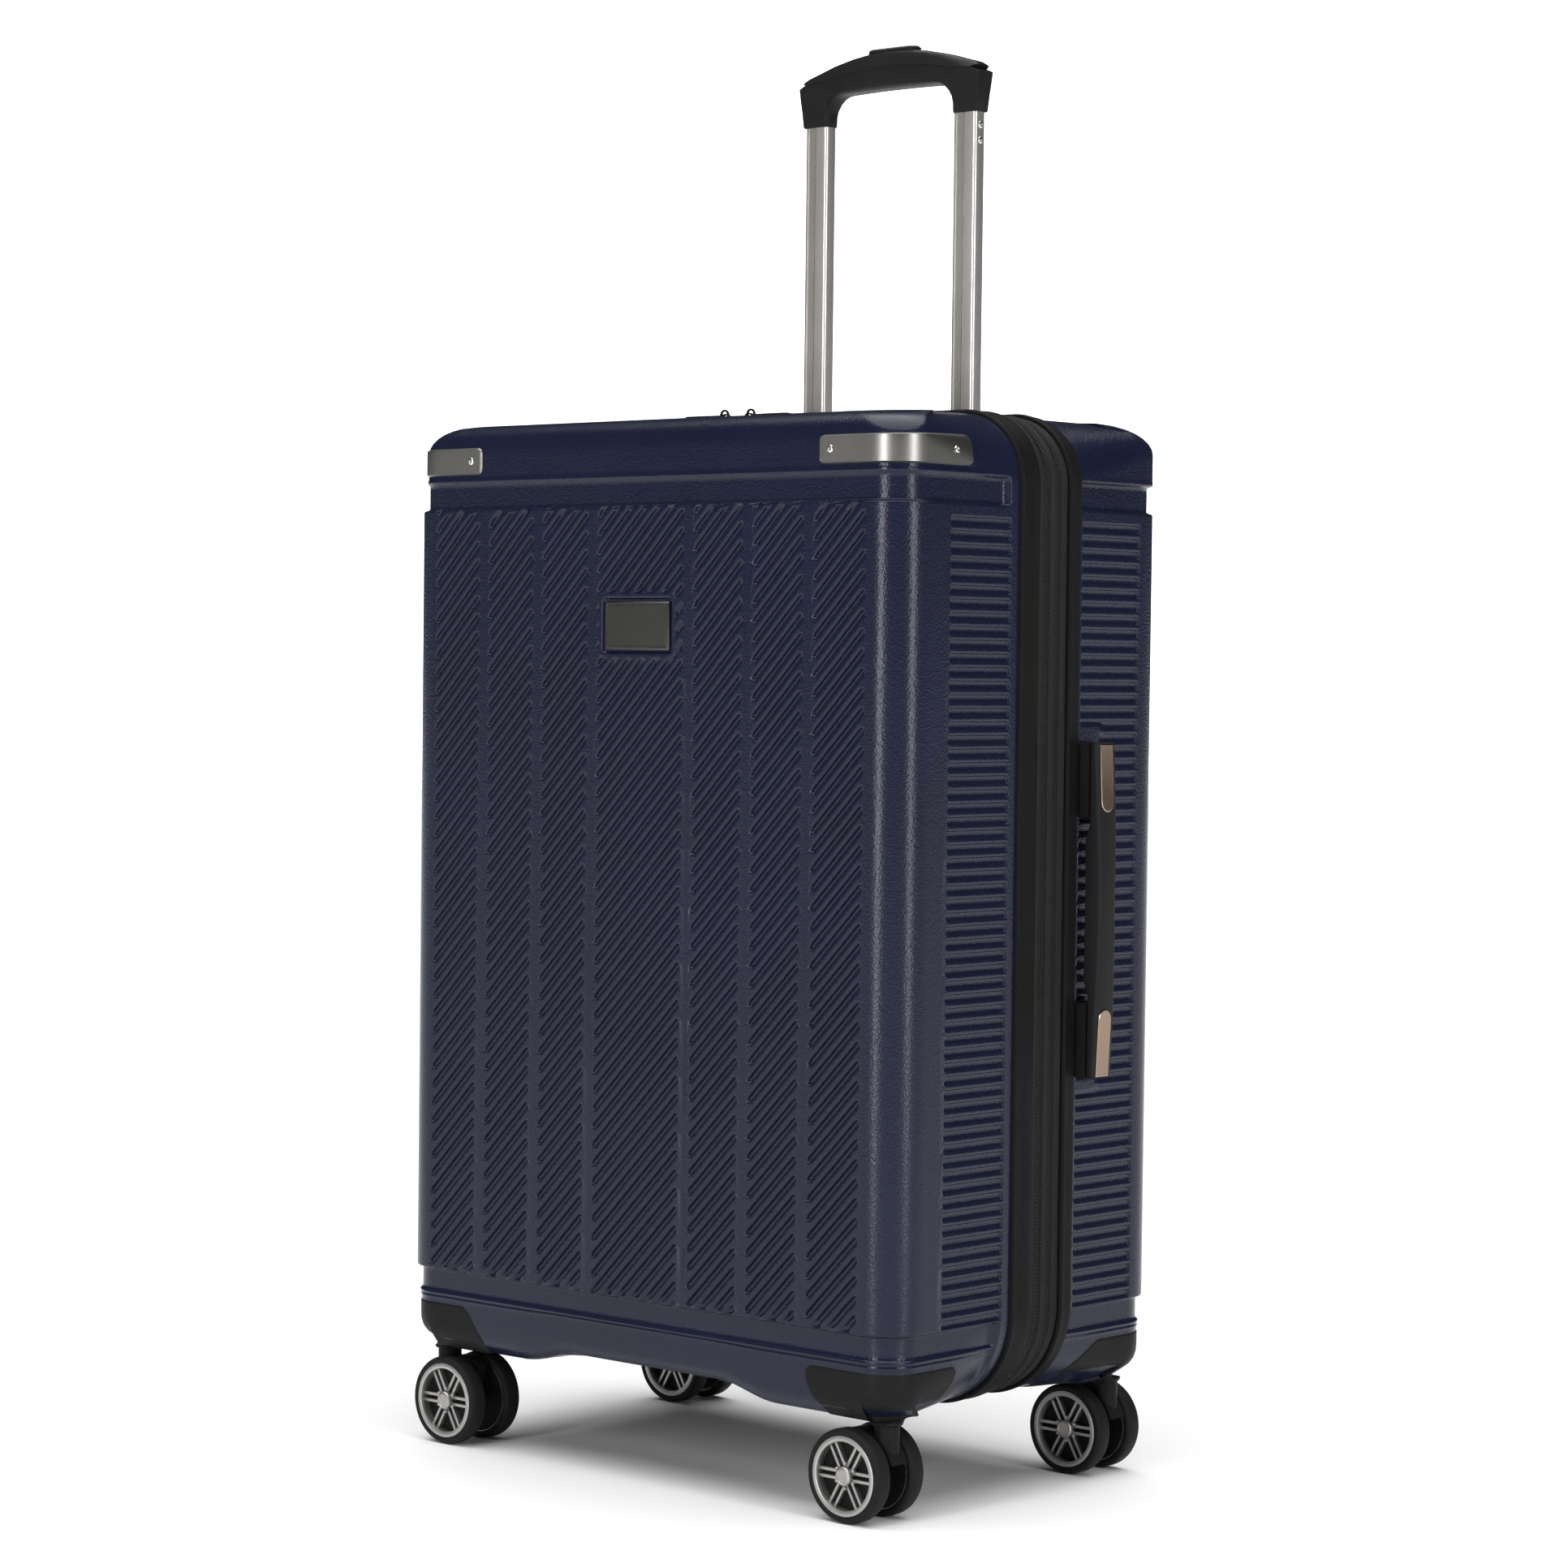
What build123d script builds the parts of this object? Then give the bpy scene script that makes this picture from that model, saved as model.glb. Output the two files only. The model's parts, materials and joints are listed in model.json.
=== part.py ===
from build123d import *
from functools import lru_cache
from math import asin, degrees, sqrt
import os

# Hard shell suitcase on four twin-wheel casters, trolley handle raised to its first stop.
# Millimetres. Z is up from the floor, X runs across the width, Y through the depth.
# The patterned front shell is at -Y, the trolley shell at +Y, the side handle at +X.

# ---- case ----
HALF_WIDTH = 219.5          # side walls of both shells
HALF_DEPTH = 134.3          # front and rear panels
TOP_Z = 689.0               # top of the shells where they meet
BOTTOM_Z = 60.0             # underside where the shells meet
END_DRAFT = 4.5             # the top and bottom walls close in by this towards the panels
TOP_CORNER_R = 46.0         # corners seen from the front
BOTTOM_CORNER_R = 62.0
PLAN_CORNER_R = 28.0        # upright corners seen from above
END_EDGE_R = 18.0           # front and rear edges of the top and bottom walls
ARCH_HALF = 74.0            # raised middle of the underside
ARCH_RAMP = 38.0
ARCH_RISE = 9.0
ARCH_R = 40.0               # rounding at both ends of the ramps
RIDGE_R = 300.0             # soft change of draft where the halves meet
WALL = 2.5

# ---- rims and zips, from the front to the back ----
TRIM_PROUD = 2.5
FRONT_TRIM = (-21.3, -1.3)
MAIN_ZIP_Y = 6.4            # the two rows of the main zip meet here
EXPANDER_ZIP_Y = 18.0       # and the two rows of the expander zip here
REAR_TRIM = (27.7, 40.7)
ZIP_GAP = 0.3
ZIP_PROUD = 0.3
TAPE_DEPTH = 2.6
HINGE_STRIP_Z = (140.0, 610.0)
HINGE_STRIP_T = 1.2
GUSSET_INSET, GUSSET_T = 2.0, 1.2

# ---- zip sliders ----
SLIDER_X = (-57.5, -36.0)
SLIDER_L, SLIDER_W, SLIDER_H, SLIDER_R = 12.0, 8.0, 3.2, 2.0
SLIDER_LIFT = 0.4
BRIDGE_L, BRIDGE_T, BRIDGE_H, BRIDGE_Y = 5.0, 1.4, 4.0, 2.8
TAB_PIN_R, TAB_PIN_L, TAB_EYE_R = 0.7, 6.0, 1.9
TAB_W, TAB_T, TAB_L, TAB_R = 7.0, 1.8, 36.0, 2.5
NECK_W, NECK_L = 3.2, 12.0
EXPANDER_SLIDER_Z = (204.0, 216.0)
EXPANDER_PULL_Z, EXPANDER_PULL_W = 176.0, 5.0
EXPANDER_SLIDER_T = 1.9

# ---- lining and straps ----
LINING_GAP = 0.7
LINING_T = 1.0
TROLLEY_COVER_Y = 92.0      # the rear lining covers the trolley tubes from here back
STRAP_W, STRAP_T = 25.0, 1.6
BUCKLE_W, BUCKLE_H, BUCKLE_T, BUCKLE_R = 34.0, 29.0, 8.0, 5.0
STRAP_Z = 375.0
STRAP_END_X = 208.0

# ---- badge and corner guards ----
PLATE_W, PLATE_H, PLATE_T = 57.0, 31.0, 2.0
PLATE_X, PLATE_Z = -2.8, 552.0
PLATE_SUNK, PLATE_BEVEL = 1.0, 0.7
GUARD_X = 150.0             # inner end on the front panel
GUARD_Y = -64.7             # far end on the side wall
GUARD_Z = (652.0, 673.0)
GUARD_T = 1.2
RIVET_R, RIVET_PROUD = 2.4, 1.0
RIVET_X = 159.5             # rivet on the front panel
RIVET_Y = -81.0             # rivet on the side

# ---- casters ----
STEM_X, STEM_Y = 196.0, 110.0
HOUSING_X, HOUSING_Y, HOUSING_Z = 145.0, 64.6, 94.5
HOUSING_WALL = 5.0
HOUSING_PROUD = 0.6
BOSS_R, BOSS_TOP = 13.0, 88.0
SKIRT_R, SKIRT_Z = 10.0, 61.3
PIN_R, PIN_CLEAR = 4.0, 0.05
STEM_R, STEM_TOP = 7.9, 60.8
PIN_HEAD_R, PIN_HEAD_T = 6.5, 2.5
TYRE_R, TYRE_W, RIM_R = 29.5, 13.0, 24.8
TRAIL = 17.0
WHEEL_Y = 15.75             # middle of each wheel from the stem
GUARD_OUT_R, GUARD_IN_R, FENDER_HALF = 28.5, 24.5, 7.5
WEB_HALF = 4.0
AXLE_R, AXLE_HALF = 2.5, 19.0
SPOKES = 6
HUB_BOSS_R = 5.2
RING_T = 3.2                # radial width of the hub's outer ring
SPOKE_W, SPOKE_T, SPOKE_OFF = 1.8, 6.0, 2.3
TYRE_EDGE_R = 2.2
LUG_Z = (53.5, 56.0)        # stop lug on the stem
LUG_L, LUG_HALF = 5.0, 2.0

# ---- trolley ----
TUBE_X, TUBE_Y = 66.5, 109.7
TUBE_W, TUBE_D, TUBE_R = 19.5, 10.5, 2.2
STAGE_WALL, STAGE_GAP = 1.1, 0.2
GRIP_FOOT_Z = 900.0
GRIP_HALF = 80.0
GRIP_END_Z = 931.0
GRIP_CROWN_Z = 947.0
GRIP_UNDER_Z = 921.0
GRIP_DEPTH = 20.0
LEG_W, LEG_D = 21.5, 13.0
COVER_EDGE_Z = 936.0
BUTTON_HALF, BUTTON_DEPTH, BUTTON_TOP = 20.5, 11.0, 949.5
BUTTON_TRAVEL = 3.0
TRAY_HALF_X, TRAY_HALF_Y, TRAY_FLOOR, TRAY_WALL = 89.0, 15.5, 641.0, 2.2
TROLLEY_BASE = 82.0
INNER_BOTTOM = 342.0
ROD_R = 2.2
ROD_CHANNEL = (925.0, 933.2)
TUBE_TOP = GRIP_FOOT_Z + 15.0
GRIP_INNER_R = 14.0
SEAM_DROP, SEAM_REACH = 6.0, 5.0
BUTTON_GAP, BUTTON_R = 0.4, 3.0
YOKE_T, YOKE_HALF, YOKE_END = 3.0, 3.0, 4.0
TUBE_SCREW_Z = (881.0, 891.4)
TUBE_SCREW_R, TUBE_SCREW_T = 2.4, 1.2
TROLLEY_FOOT_T, TROLLEY_FOOT_END, TROLLEY_FOOT_HALF, TROLLEY_FOOT_R = 9.0, 18.0, 11.0, 4.0
BEZEL_PROUD = 0.6

# ---- side handle, on the +X wall of the rear shell ----
HANDLE_Y = (41.2, 60.2)
HANDLE_Z = (267.0, 481.0)
BRACKET_L, BRACKET_H, BRACKET_R = 48.0, 9.0, 2.5
HANDLE_END_H, HANDLE_MID_H = 15.5, 18.7
HANDLE_MID_IN = 5.4
HANDLE_GAP = 0.3
HANDLE_RAMP = 10.0
LEG_Y, LEG_Z, LEG_IN = 11.0, 30.0, 7.5
CUP_WALL = 1.8
CUP_DEPTH = LEG_IN + 2.0
CUP_LINING_GAP = 0.5
INSERT_L, INSERT_T = 43.0, 3.0
INSERT_Y = (43.7, 56.7)

# The origin is on the floor under the middle of the whole object's width.
CASE_X = -(HANDLE_MID_H - TRIM_PROUD) / 2

# Limits well outside the object, for cutting tools that must pass right through it.
FAR = 300.0
FAR_DEPTH = 200.0
SKY = 960.0
SQRT_HALF = sqrt(0.5)


def block(x0, x1, y0, y1, z0, z1):
    """A box given by its limits."""
    centre = Pos((x0 + x1) / 2, (y0 + y1) / 2, (z0 + z1) / 2)
    return centre * Box(x1 - x0, y1 - y0, z1 - z0)


def upright(radius, x, y, z0, z1):
    """A vertical cylinder."""
    return Pos(x, y, (z0 + z1) / 2) * Cylinder(radius, z1 - z0)


def group(solids):
    """Separate solids that share one node."""
    return Compound(solids)


def mirror_x(shape):
    return mirror(shape, about=Plane.YZ)


def mirror_y(shape):
    return mirror(shape, about=Plane.XZ)


@lru_cache(maxsize=None)
def case_solid(inset):
    """The closed outer form of the case, every wall moved in by inset."""
    wide = HALF_WIDTH - inset
    deep = HALF_DEPTH - inset
    top = TOP_Z - inset
    low = BOTTOM_Z + inset
    arch = low + ARCH_RISE
    front_view = FilletPolyline(
        (-wide, low), (-ARCH_HALF - ARCH_RAMP, low), (-ARCH_HALF, arch),
        (ARCH_HALF, arch), (ARCH_HALF + ARCH_RAMP, low), (wide, low), (wide, top), (-wide, top),
        radius=[BOTTOM_CORNER_R - inset, ARCH_R, ARCH_R, ARCH_R, ARCH_R, BOTTOM_CORNER_R - inset,
                TOP_CORNER_R - inset, TOP_CORNER_R - inset],
        close=True)
    edge_r = END_EDGE_R - inset
    side_view = FilletPolyline(
        (-deep, low + END_DRAFT), (0, low), (deep, low + END_DRAFT),
        (deep, top - END_DRAFT), (0, top), (-deep, top - END_DRAFT),
        radius=[edge_r, RIDGE_R, edge_r, edge_r, RIDGE_R, edge_r],
        close=True)
    from_front = extrude(Plane.XZ * make_face(front_view), amount=deep + 1, both=True)
    from_side = extrude(Plane.YZ * make_face(side_view), amount=wide + 1, both=True)
    from_above = Pos(0, 0, low - 1) * extrude(
        RectangleRounded(2 * wide, 2 * deep, PLAN_CORNER_R - inset), amount=top - low + 2)
    return from_front & from_side & from_above


def slab(y0, y1):
    """All of space between two depths."""
    return block(-FAR, FAR, y0, y1, 0, SKY)


def ring(y0, y1, outer, inner):
    """A band round the case between two depths."""
    return (case_solid(outer) - case_solid(inner)) & slab(y0, y1)


def corner_region(grow=0.0):
    """The front right lower corner that a caster housing fills."""
    return block(HOUSING_X - grow, FAR, -FAR_DEPTH, -HOUSING_Y + grow, 0, HOUSING_Z + grow)


def four_corners(grow=0.0):
    right = corner_region(grow)
    right = right + mirror_y(right)
    return right + mirror_x(right)


# ---- shells ----
outer_form = case_solid(0)
inner_form = case_solid(WALL)
hollow = outer_form - inner_form - four_corners()


def guard_band(outer, inner, grow):
    """A strip round the upper right front corner, between two insets of the case."""
    region = block(GUARD_X - grow, FAR, -FAR_DEPTH, GUARD_Y + grow, GUARD_Z[0] - grow, GUARD_Z[1] + grow)
    return (case_solid(outer) - case_solid(inner)) & region


def plate_block(y0, y1):
    """The badge plate's outline as a solid between two depths."""
    return block(PLATE_X - PLATE_W / 2, PLATE_X + PLATE_W / 2, y0, y1,
                 PLATE_Z - PLATE_H / 2, PLATE_Z + PLATE_H / 2)


def front_shell():
    recess = guard_band(-1, GUARD_T, 1.0)
    pocket = plate_block(-HALF_DEPTH - PLATE_T, -HALF_DEPTH + PLATE_SUNK)
    return (hollow & slab(-FAR_DEPTH, FRONT_TRIM[1])) - recess - mirror_x(recess) - pocket


def tray_region(grow=0.0):
    return block(-TRAY_HALF_X - grow, TRAY_HALF_X + grow, TUBE_Y - TRAY_HALF_Y - grow,
                 TUBE_Y + TRAY_HALF_Y + grow, TRAY_FLOOR - grow, SKY)


def handle_feet(grow, x0, x1):
    """The two places where the side handle's legs pass, as solids from x0 to x1."""
    y_mid = sum(HANDLE_Y) / 2
    feet = []
    for z_mid in (HANDLE_Z[0] + BRACKET_L / 2, HANDLE_Z[1] - BRACKET_L / 2):
        feet.append(block(x0, x1, y_mid - LEG_Y / 2 - grow, y_mid + LEG_Y / 2 + grow,
                          z_mid - LEG_Z / 2 - grow, z_mid + LEG_Z / 2 + grow))
    return feet


def rear_shell():
    shell = (hollow & slab(REAR_TRIM[0], FAR_DEPTH)) - tray_region()
    for foot in handle_feet(HANDLE_GAP + CUP_WALL, HALF_WIDTH - WALL - 1, HALF_WIDTH + 1):
        shell -= foot
    return shell


# ---- linings: a thin skin that also wraps the housings, the tray and the trolley tubes ----
def front_lining():
    outside = (case_solid(WALL + LINING_GAP) & slab(-FAR_DEPTH, FRONT_TRIM[1])) - four_corners(1.0)
    inside = case_solid(WALL + LINING_GAP + LINING_T) - four_corners(1.0 + LINING_T)
    return outside - inside


def rear_lining():
    grow = HANDLE_GAP + CUP_WALL + CUP_LINING_GAP
    cups = handle_feet(grow, HALF_WIDTH - CUP_DEPTH - 3, FAR)
    cup_covers = handle_feet(grow + LINING_T, HALF_WIDTH - CUP_DEPTH - 3 - LINING_T, FAR)
    outside = case_solid(WALL + LINING_GAP) & slab(REAR_TRIM[0], TROLLEY_COVER_Y)
    inside = case_solid(WALL + LINING_GAP + LINING_T) & slab(0, TROLLEY_COVER_Y - LINING_T)
    outside -= four_corners(1.0)
    inside -= four_corners(1.0 + LINING_T)
    for cup, cover in zip(cups, cup_covers):
        outside -= cup
        inside -= cover
    return outside - inside


def packing_straps():
    """Two elastic straps across the back of the rear half, meeting in the buckle."""
    back = TROLLEY_COVER_Y - LINING_T
    strap = block(-STRAP_END_X, -BUCKLE_W / 2, back - STRAP_T, back,
                  STRAP_Z - STRAP_W / 2, STRAP_Z + STRAP_W / 2)
    return group([strap, mirror_x(strap)])


def strap_buckle():
    back = TROLLEY_COVER_Y - LINING_T
    body = block(-BUCKLE_W / 2, BUCKLE_W / 2, back - BUCKLE_T, back,
                 STRAP_Z - BUCKLE_H / 2, STRAP_Z + BUCKLE_H / 2)
    return fillet(body.edges().filter_by(Axis.Y), BUCKLE_R)


# ---- corner guards, rivets and badge plate ----
def corner_guard():
    return guard_band(0, GUARD_T, 0.0)


def guard_rivets():
    z_mid = sum(GUARD_Z) / 2
    head = Cylinder(RIVET_R, RIVET_PROUD)
    front = Pos(RIVET_X, -HALF_DEPTH - RIVET_PROUD / 2, z_mid) * Rot(90, 0, 0) * head
    corner = Pos(HALF_WIDTH - TOP_CORNER_R, RIVET_Y, TOP_Z - TOP_CORNER_R)
    lean = degrees(asin((z_mid - TOP_Z + TOP_CORNER_R) / TOP_CORNER_R))
    reach = Pos(TOP_CORNER_R + RIVET_PROUD / 2, 0, 0)
    side = corner * Rot(0, -lean, 0) * reach * Rot(0, 90, 0) * head
    pair = [front, side]
    return group(pair + [mirror_x(rivet) for rivet in pair])


def name_plate():
    plate = plate_block(-HALF_DEPTH - PLATE_T + PLATE_SUNK, -HALF_DEPTH + PLATE_SUNK)
    front_edges = plate.faces().sort_by(Axis.Y)[0].edges()
    return chamfer(front_edges, PLATE_BEVEL)


# ---- casters, modelled round a stem at the origin with the wheels trailing towards +X ----
def caster_housing():
    """Housing of the front right corner, in place."""
    skin = (case_solid(-HOUSING_PROUD) - case_solid(HOUSING_WALL - HOUSING_PROUD)) & corner_region()
    boss = upright(BOSS_R, STEM_X, -STEM_Y, BOTTOM_Z + HOUSING_WALL, BOSS_TOP)
    skirt = Pos(STEM_X, -STEM_Y, SKIRT_Z + 2.5) * Cylinder(SKIRT_R, 5)
    bore = upright(PIN_R + PIN_CLEAR, STEM_X, -STEM_Y, 50, 120)
    return skin + boss + skirt - bore


def fender_profile():
    """Quarter mudguard over the wheels, seen along the axle, wheel centre at the origin."""
    disc = Circle(GUARD_OUT_R) - Circle(GUARD_IN_R)
    keep = Pos(-GUARD_OUT_R / 2 + 2, GUARD_OUT_R / 2 + 8) * Rectangle(GUARD_OUT_R + 14, GUARD_OUT_R)
    return disc & keep


def caster_fork():
    wheel_place = Pos(TRAIL, 0, TYRE_R)
    fender = wheel_place * extrude(Plane.XZ * fender_profile(), amount=FENDER_HALF, both=True)
    web_line = Polyline((-STEM_R, 30), (STEM_R + 9, 27), (9, 6), (6, -6), (-6, -6), (-9, 4), (-24, 14),
                        (-24, 24), close=True)
    web = wheel_place * extrude(Plane.XZ * make_face(web_line), amount=WEB_HALF, both=True)
    envelope = wheel_place * Rot(90, 0, 0) * Cylinder(GUARD_OUT_R, 2 * FENDER_HALF)
    stem = upright(STEM_R, 0, 0, TYRE_R + 12, STEM_TOP)
    pin = upright(PIN_R, 0, 0, STEM_TOP, BOSS_TOP + PIN_HEAD_T)
    head = upright(PIN_HEAD_R, 0, 0, BOSS_TOP + 0.3, BOSS_TOP + PIN_HEAD_T)
    lug = block(STEM_R - 1, STEM_R + LUG_L, -LUG_HALF, LUG_HALF, *LUG_Z)
    bore = wheel_place * Rot(90, 0, 0) * Cylinder(AXLE_R, 60)
    body = fender + (web & envelope) + stem + pin + head + lug - bore
    axle = wheel_place * Rot(90, 0, 0) * Cylinder(AXLE_R, 2 * AXLE_HALF)
    return [body, axle]


def tyre(side):
    """Tyre of one wheel; side is -1 for the wheel towards -Y and 1 for the other."""
    outline = Pos((TYRE_R + RIM_R) / 2, 0) * RectangleRounded(TYRE_R - RIM_R, TYRE_W, TYRE_EDGE_R)
    ring_solid = revolve(Plane.XY * outline, axis=Axis.Y)
    return Pos(TRAIL, side * WHEEL_Y, TYRE_R) * ring_solid


def hub(side):
    """Hub with six double spokes, an open face and a blind bore for the axle."""
    rim = Cylinder(RIM_R, TYRE_W - 1) - Cylinder(RIM_R - RING_T, TYRE_W)
    boss = Cylinder(HUB_BOSS_R, TYRE_W - 1)
    body = rim + boss
    spoke = Pos((RIM_R - 2) / 2, SPOKE_OFF, 0) * Box(RIM_R - 2, SPOKE_W, SPOKE_T)
    for step in range(SPOKES):
        turn = Rot(0, 0, step * 360 / SPOKES)
        body += turn * spoke
        body += turn * mirror(spoke, about=Plane.XZ)
    bore = Pos(0, 0, -3) * Cylinder(AXLE_R + PIN_CLEAR, TYRE_W)
    body -= bore
    return Pos(TRAIL, side * WHEEL_Y, TYRE_R) * Rot(-90 * side, 0, 0) * body


# ---- trolley ----
def tube_outline(stage):
    """Outside of a stage: 0 is the inner tube, 1 the middle one, 2 the outer one."""
    grow = stage * 2 * (STAGE_WALL + STAGE_GAP)
    return RectangleRounded(TUBE_W + grow, TUBE_D + grow, TUBE_R + grow / 2)


def tube_pair(stage, z0, z1):
    grow = stage * 2 * (STAGE_WALL + STAGE_GAP)
    bore = RectangleRounded(TUBE_W + grow - 2 * STAGE_WALL, TUBE_D + grow - 2 * STAGE_WALL,
                            TUBE_R + grow / 2 - STAGE_WALL)
    tube = extrude(tube_outline(stage) - bore, amount=z1 - z0)
    return group([Pos(x, TUBE_Y, z0) * tube for x in (-TUBE_X, TUBE_X)])


def trolley_foot():
    end = TUBE_X + TROLLEY_FOOT_END
    foot = block(-end, end, TUBE_Y - TROLLEY_FOOT_HALF, TUBE_Y + TROLLEY_FOOT_HALF,
                 TROLLEY_BASE - TROLLEY_FOOT_T, TROLLEY_BASE)
    return fillet(foot.edges().filter_by(Axis.Z), TROLLEY_FOOT_R)


def trolley_bezel():
    """The tray in the top of the rear shell that takes the grip when it is stowed."""
    tray = tray_region() & case_solid(-BEZEL_PROUD)
    pocket = block(-TRAY_HALF_X + TRAY_WALL, TRAY_HALF_X - TRAY_WALL, TUBE_Y - TRAY_HALF_Y + TRAY_WALL,
                   TUBE_Y + TRAY_HALF_Y - TRAY_WALL, TRAY_FLOOR + TRAY_WALL, SKY)
    tray -= pocket
    grow = 2 * (STAGE_WALL + 2 * STAGE_GAP)
    passage = extrude(RectangleRounded(TUBE_W + grow, TUBE_D + grow, TUBE_R + grow / 2), amount=20)
    for x in (-TUBE_X, TUBE_X):
        tray -= Pos(x, TUBE_Y, TRAY_FLOOR - 10) * passage
    return tray


def crown_arc(z_end, z_mid, half):
    return ThreePointArc((-half, z_end), (0, z_mid), (half, z_end))


def grip_blank():
    """The whole grip seen from the front: two legs under an arched bar."""
    leg_out = TUBE_X + LEG_W / 2
    leg_in = TUBE_X - LEG_W / 2
    bend_x, bend_z = leg_in - GRIP_INNER_R, GRIP_UNDER_Z - GRIP_INNER_R
    sag = GRIP_INNER_R * (1 - SQRT_HALF)
    outline = [
        crown_arc(GRIP_END_Z, GRIP_CROWN_Z, GRIP_HALF),
        Polyline((GRIP_HALF, GRIP_END_Z), (leg_out, GRIP_FOOT_Z), (leg_in, GRIP_FOOT_Z), (leg_in, bend_z)),
        ThreePointArc((leg_in, bend_z), (leg_in - sag, GRIP_UNDER_Z - sag), (bend_x, GRIP_UNDER_Z)),
        Line((bend_x, GRIP_UNDER_Z), (-bend_x, GRIP_UNDER_Z)),
        ThreePointArc((-bend_x, GRIP_UNDER_Z), (sag - leg_in, GRIP_UNDER_Z - sag), (-leg_in, bend_z)),
        Polyline((-leg_in, bend_z), (-leg_in, GRIP_FOOT_Z), (-leg_out, GRIP_FOOT_Z),
                 (-GRIP_HALF, GRIP_END_Z)),
    ]
    return Pos(0, TUBE_Y, 0) * extrude(Plane.XZ * make_face(outline), amount=GRIP_DEPTH / 2, both=True)


def below_cover():
    """Everything under the curved seam between the grip and its top cover."""
    end_x, end_z = GRIP_HALF + SEAM_REACH, GRIP_END_Z - SEAM_DROP
    low = GRIP_FOOT_Z - SEAM_REACH
    seam = crown_arc(end_z, COVER_EDGE_Z, end_x)
    sides = Polyline((end_x, end_z), (end_x, low), (-end_x, low), (-end_x, end_z))
    return Pos(0, TUBE_Y, 0) * extrude(Plane.XZ * make_face([seam, sides]), amount=GRIP_DEPTH, both=True)


def grip_passages():
    """Room inside the grip for the button, its yoke and the lock rods."""
    end = TUBE_X + YOKE_END + 2
    half = YOKE_HALF + 1
    channel = block(-end, end, TUBE_Y - half, TUBE_Y + half, *ROD_CHANNEL)
    well_x = BUTTON_HALF + BUTTON_GAP
    well_y = BUTTON_DEPTH / 2 + BUTTON_GAP
    rooms = channel + block(-well_x, well_x, TUBE_Y - well_y, TUBE_Y + well_y, ROD_CHANNEL[0], SKY)
    for x in (-TUBE_X, TUBE_X):
        rooms += upright(ROD_R + 1, x, TUBE_Y, TUBE_TOP - 5, ROD_CHANNEL[0] + 5)
    return rooms


def trolley_grip():
    grip = (grip_blank() & below_cover()) - grip_passages()
    socket = extrude(tube_outline(0), amount=TUBE_TOP - GRIP_FOOT_Z + 1)
    for x in (-TUBE_X, TUBE_X):
        grip -= Pos(x, TUBE_Y, GRIP_FOOT_Z - 1) * socket
    return grip


def trolley_grip_cover():
    return (grip_blank() - below_cover()) - grip_passages()


def trolley_button():
    body = block(-BUTTON_HALF, BUTTON_HALF, TUBE_Y - BUTTON_DEPTH / 2, TUBE_Y + BUTTON_DEPTH / 2,
                 ROD_CHANNEL[0] + BUTTON_TRAVEL + BUTTON_GAP + YOKE_T, BUTTON_TOP)
    return fillet(body.edges().filter_by(Axis.Z), BUTTON_R)


def trolley_lock_rods():
    """The yoke under the button and a rod down each tube to its lock pin."""
    yoke_z = ROD_CHANNEL[0] + BUTTON_TRAVEL + BUTTON_GAP
    end = TUBE_X + YOKE_END
    yoke = block(-end, end, TUBE_Y - YOKE_HALF, TUBE_Y + YOKE_HALF, yoke_z, yoke_z + YOKE_T)
    for x in (-TUBE_X, TUBE_X):
        yoke += upright(ROD_R, x, TUBE_Y, INNER_BOTTOM + 20, yoke_z)
    return yoke


def trolley_rivets():
    heads = []
    x = TUBE_X + (TUBE_W + TUBE_SCREW_T) / 2
    for z in TUBE_SCREW_Z:
        head = Pos(x, TUBE_Y, z) * Rot(0, 90, 0) * Cylinder(TUBE_SCREW_R, TUBE_SCREW_T)
        heads.append(head)
        heads.append(mirror_x(head))
    return group(heads)


# ---- side handle ----
def side_handle_brackets():
    """Two fixed guides on the wall, each with a cup through it for a leg of the grip."""
    guides = []
    holes = handle_feet(HANDLE_GAP, HALF_WIDTH - LEG_IN - 0.5, FAR)
    cups = handle_feet(HANDLE_GAP + CUP_WALL, HALF_WIDTH - CUP_DEPTH, HALF_WIDTH)
    for z0, hole, cup in zip((HANDLE_Z[0], HANDLE_Z[1] - BRACKET_L), holes, cups):
        base = block(HALF_WIDTH, HALF_WIDTH + BRACKET_H, *HANDLE_Y, z0, z0 + BRACKET_L)
        base = fillet(base.edges().filter_by(Axis.X), BRACKET_R)
        guides.append(base + cup - hole)
    return group(guides)


def side_handle_grip():
    x_end = HALF_WIDTH + BRACKET_H + HANDLE_GAP
    x_out = HALF_WIDTH + HANDLE_END_H
    x_mid = HALF_WIDTH + HANDLE_MID_H
    x_in = HALF_WIDTH + HANDLE_MID_IN
    z0, z1 = HANDLE_Z
    z_mid = (z0 + z1) / 2
    inner_l = BRACKET_L + 3
    arc = ThreePointArc((x_out, z0), (x_mid, z_mid), (x_out, z1))
    ramp_l = inner_l + HANDLE_RAMP
    back = Polyline((x_out, z1), (x_end, z1), (x_end, z1 - inner_l), (x_in, z1 - ramp_l),
                    (x_in, z0 + ramp_l), (x_end, z0 + inner_l), (x_end, z0), (x_out, z0))
    y_mid = sum(HANDLE_Y) / 2
    half = (HANDLE_Y[1] - HANDLE_Y[0]) / 2
    strap = Pos(0, y_mid, 0) * extrude(Plane.XZ * make_face([arc, back]), amount=half, both=True)
    for leg in handle_feet(0, HALF_WIDTH - LEG_IN, x_end):
        strap += leg
    for recess in insert_solids():
        strap -= recess
    return strap


def insert_solids():
    """The metal inserts let into the outward face at both ends of the side handle."""
    x_out = HALF_WIDTH + HANDLE_END_H
    return [block(x_out - INSERT_T, x_out, *INSERT_Y, z0, z0 + INSERT_L)
            for z0 in (HANDLE_Z[0], HANDLE_Z[1] - INSERT_L)]


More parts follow.
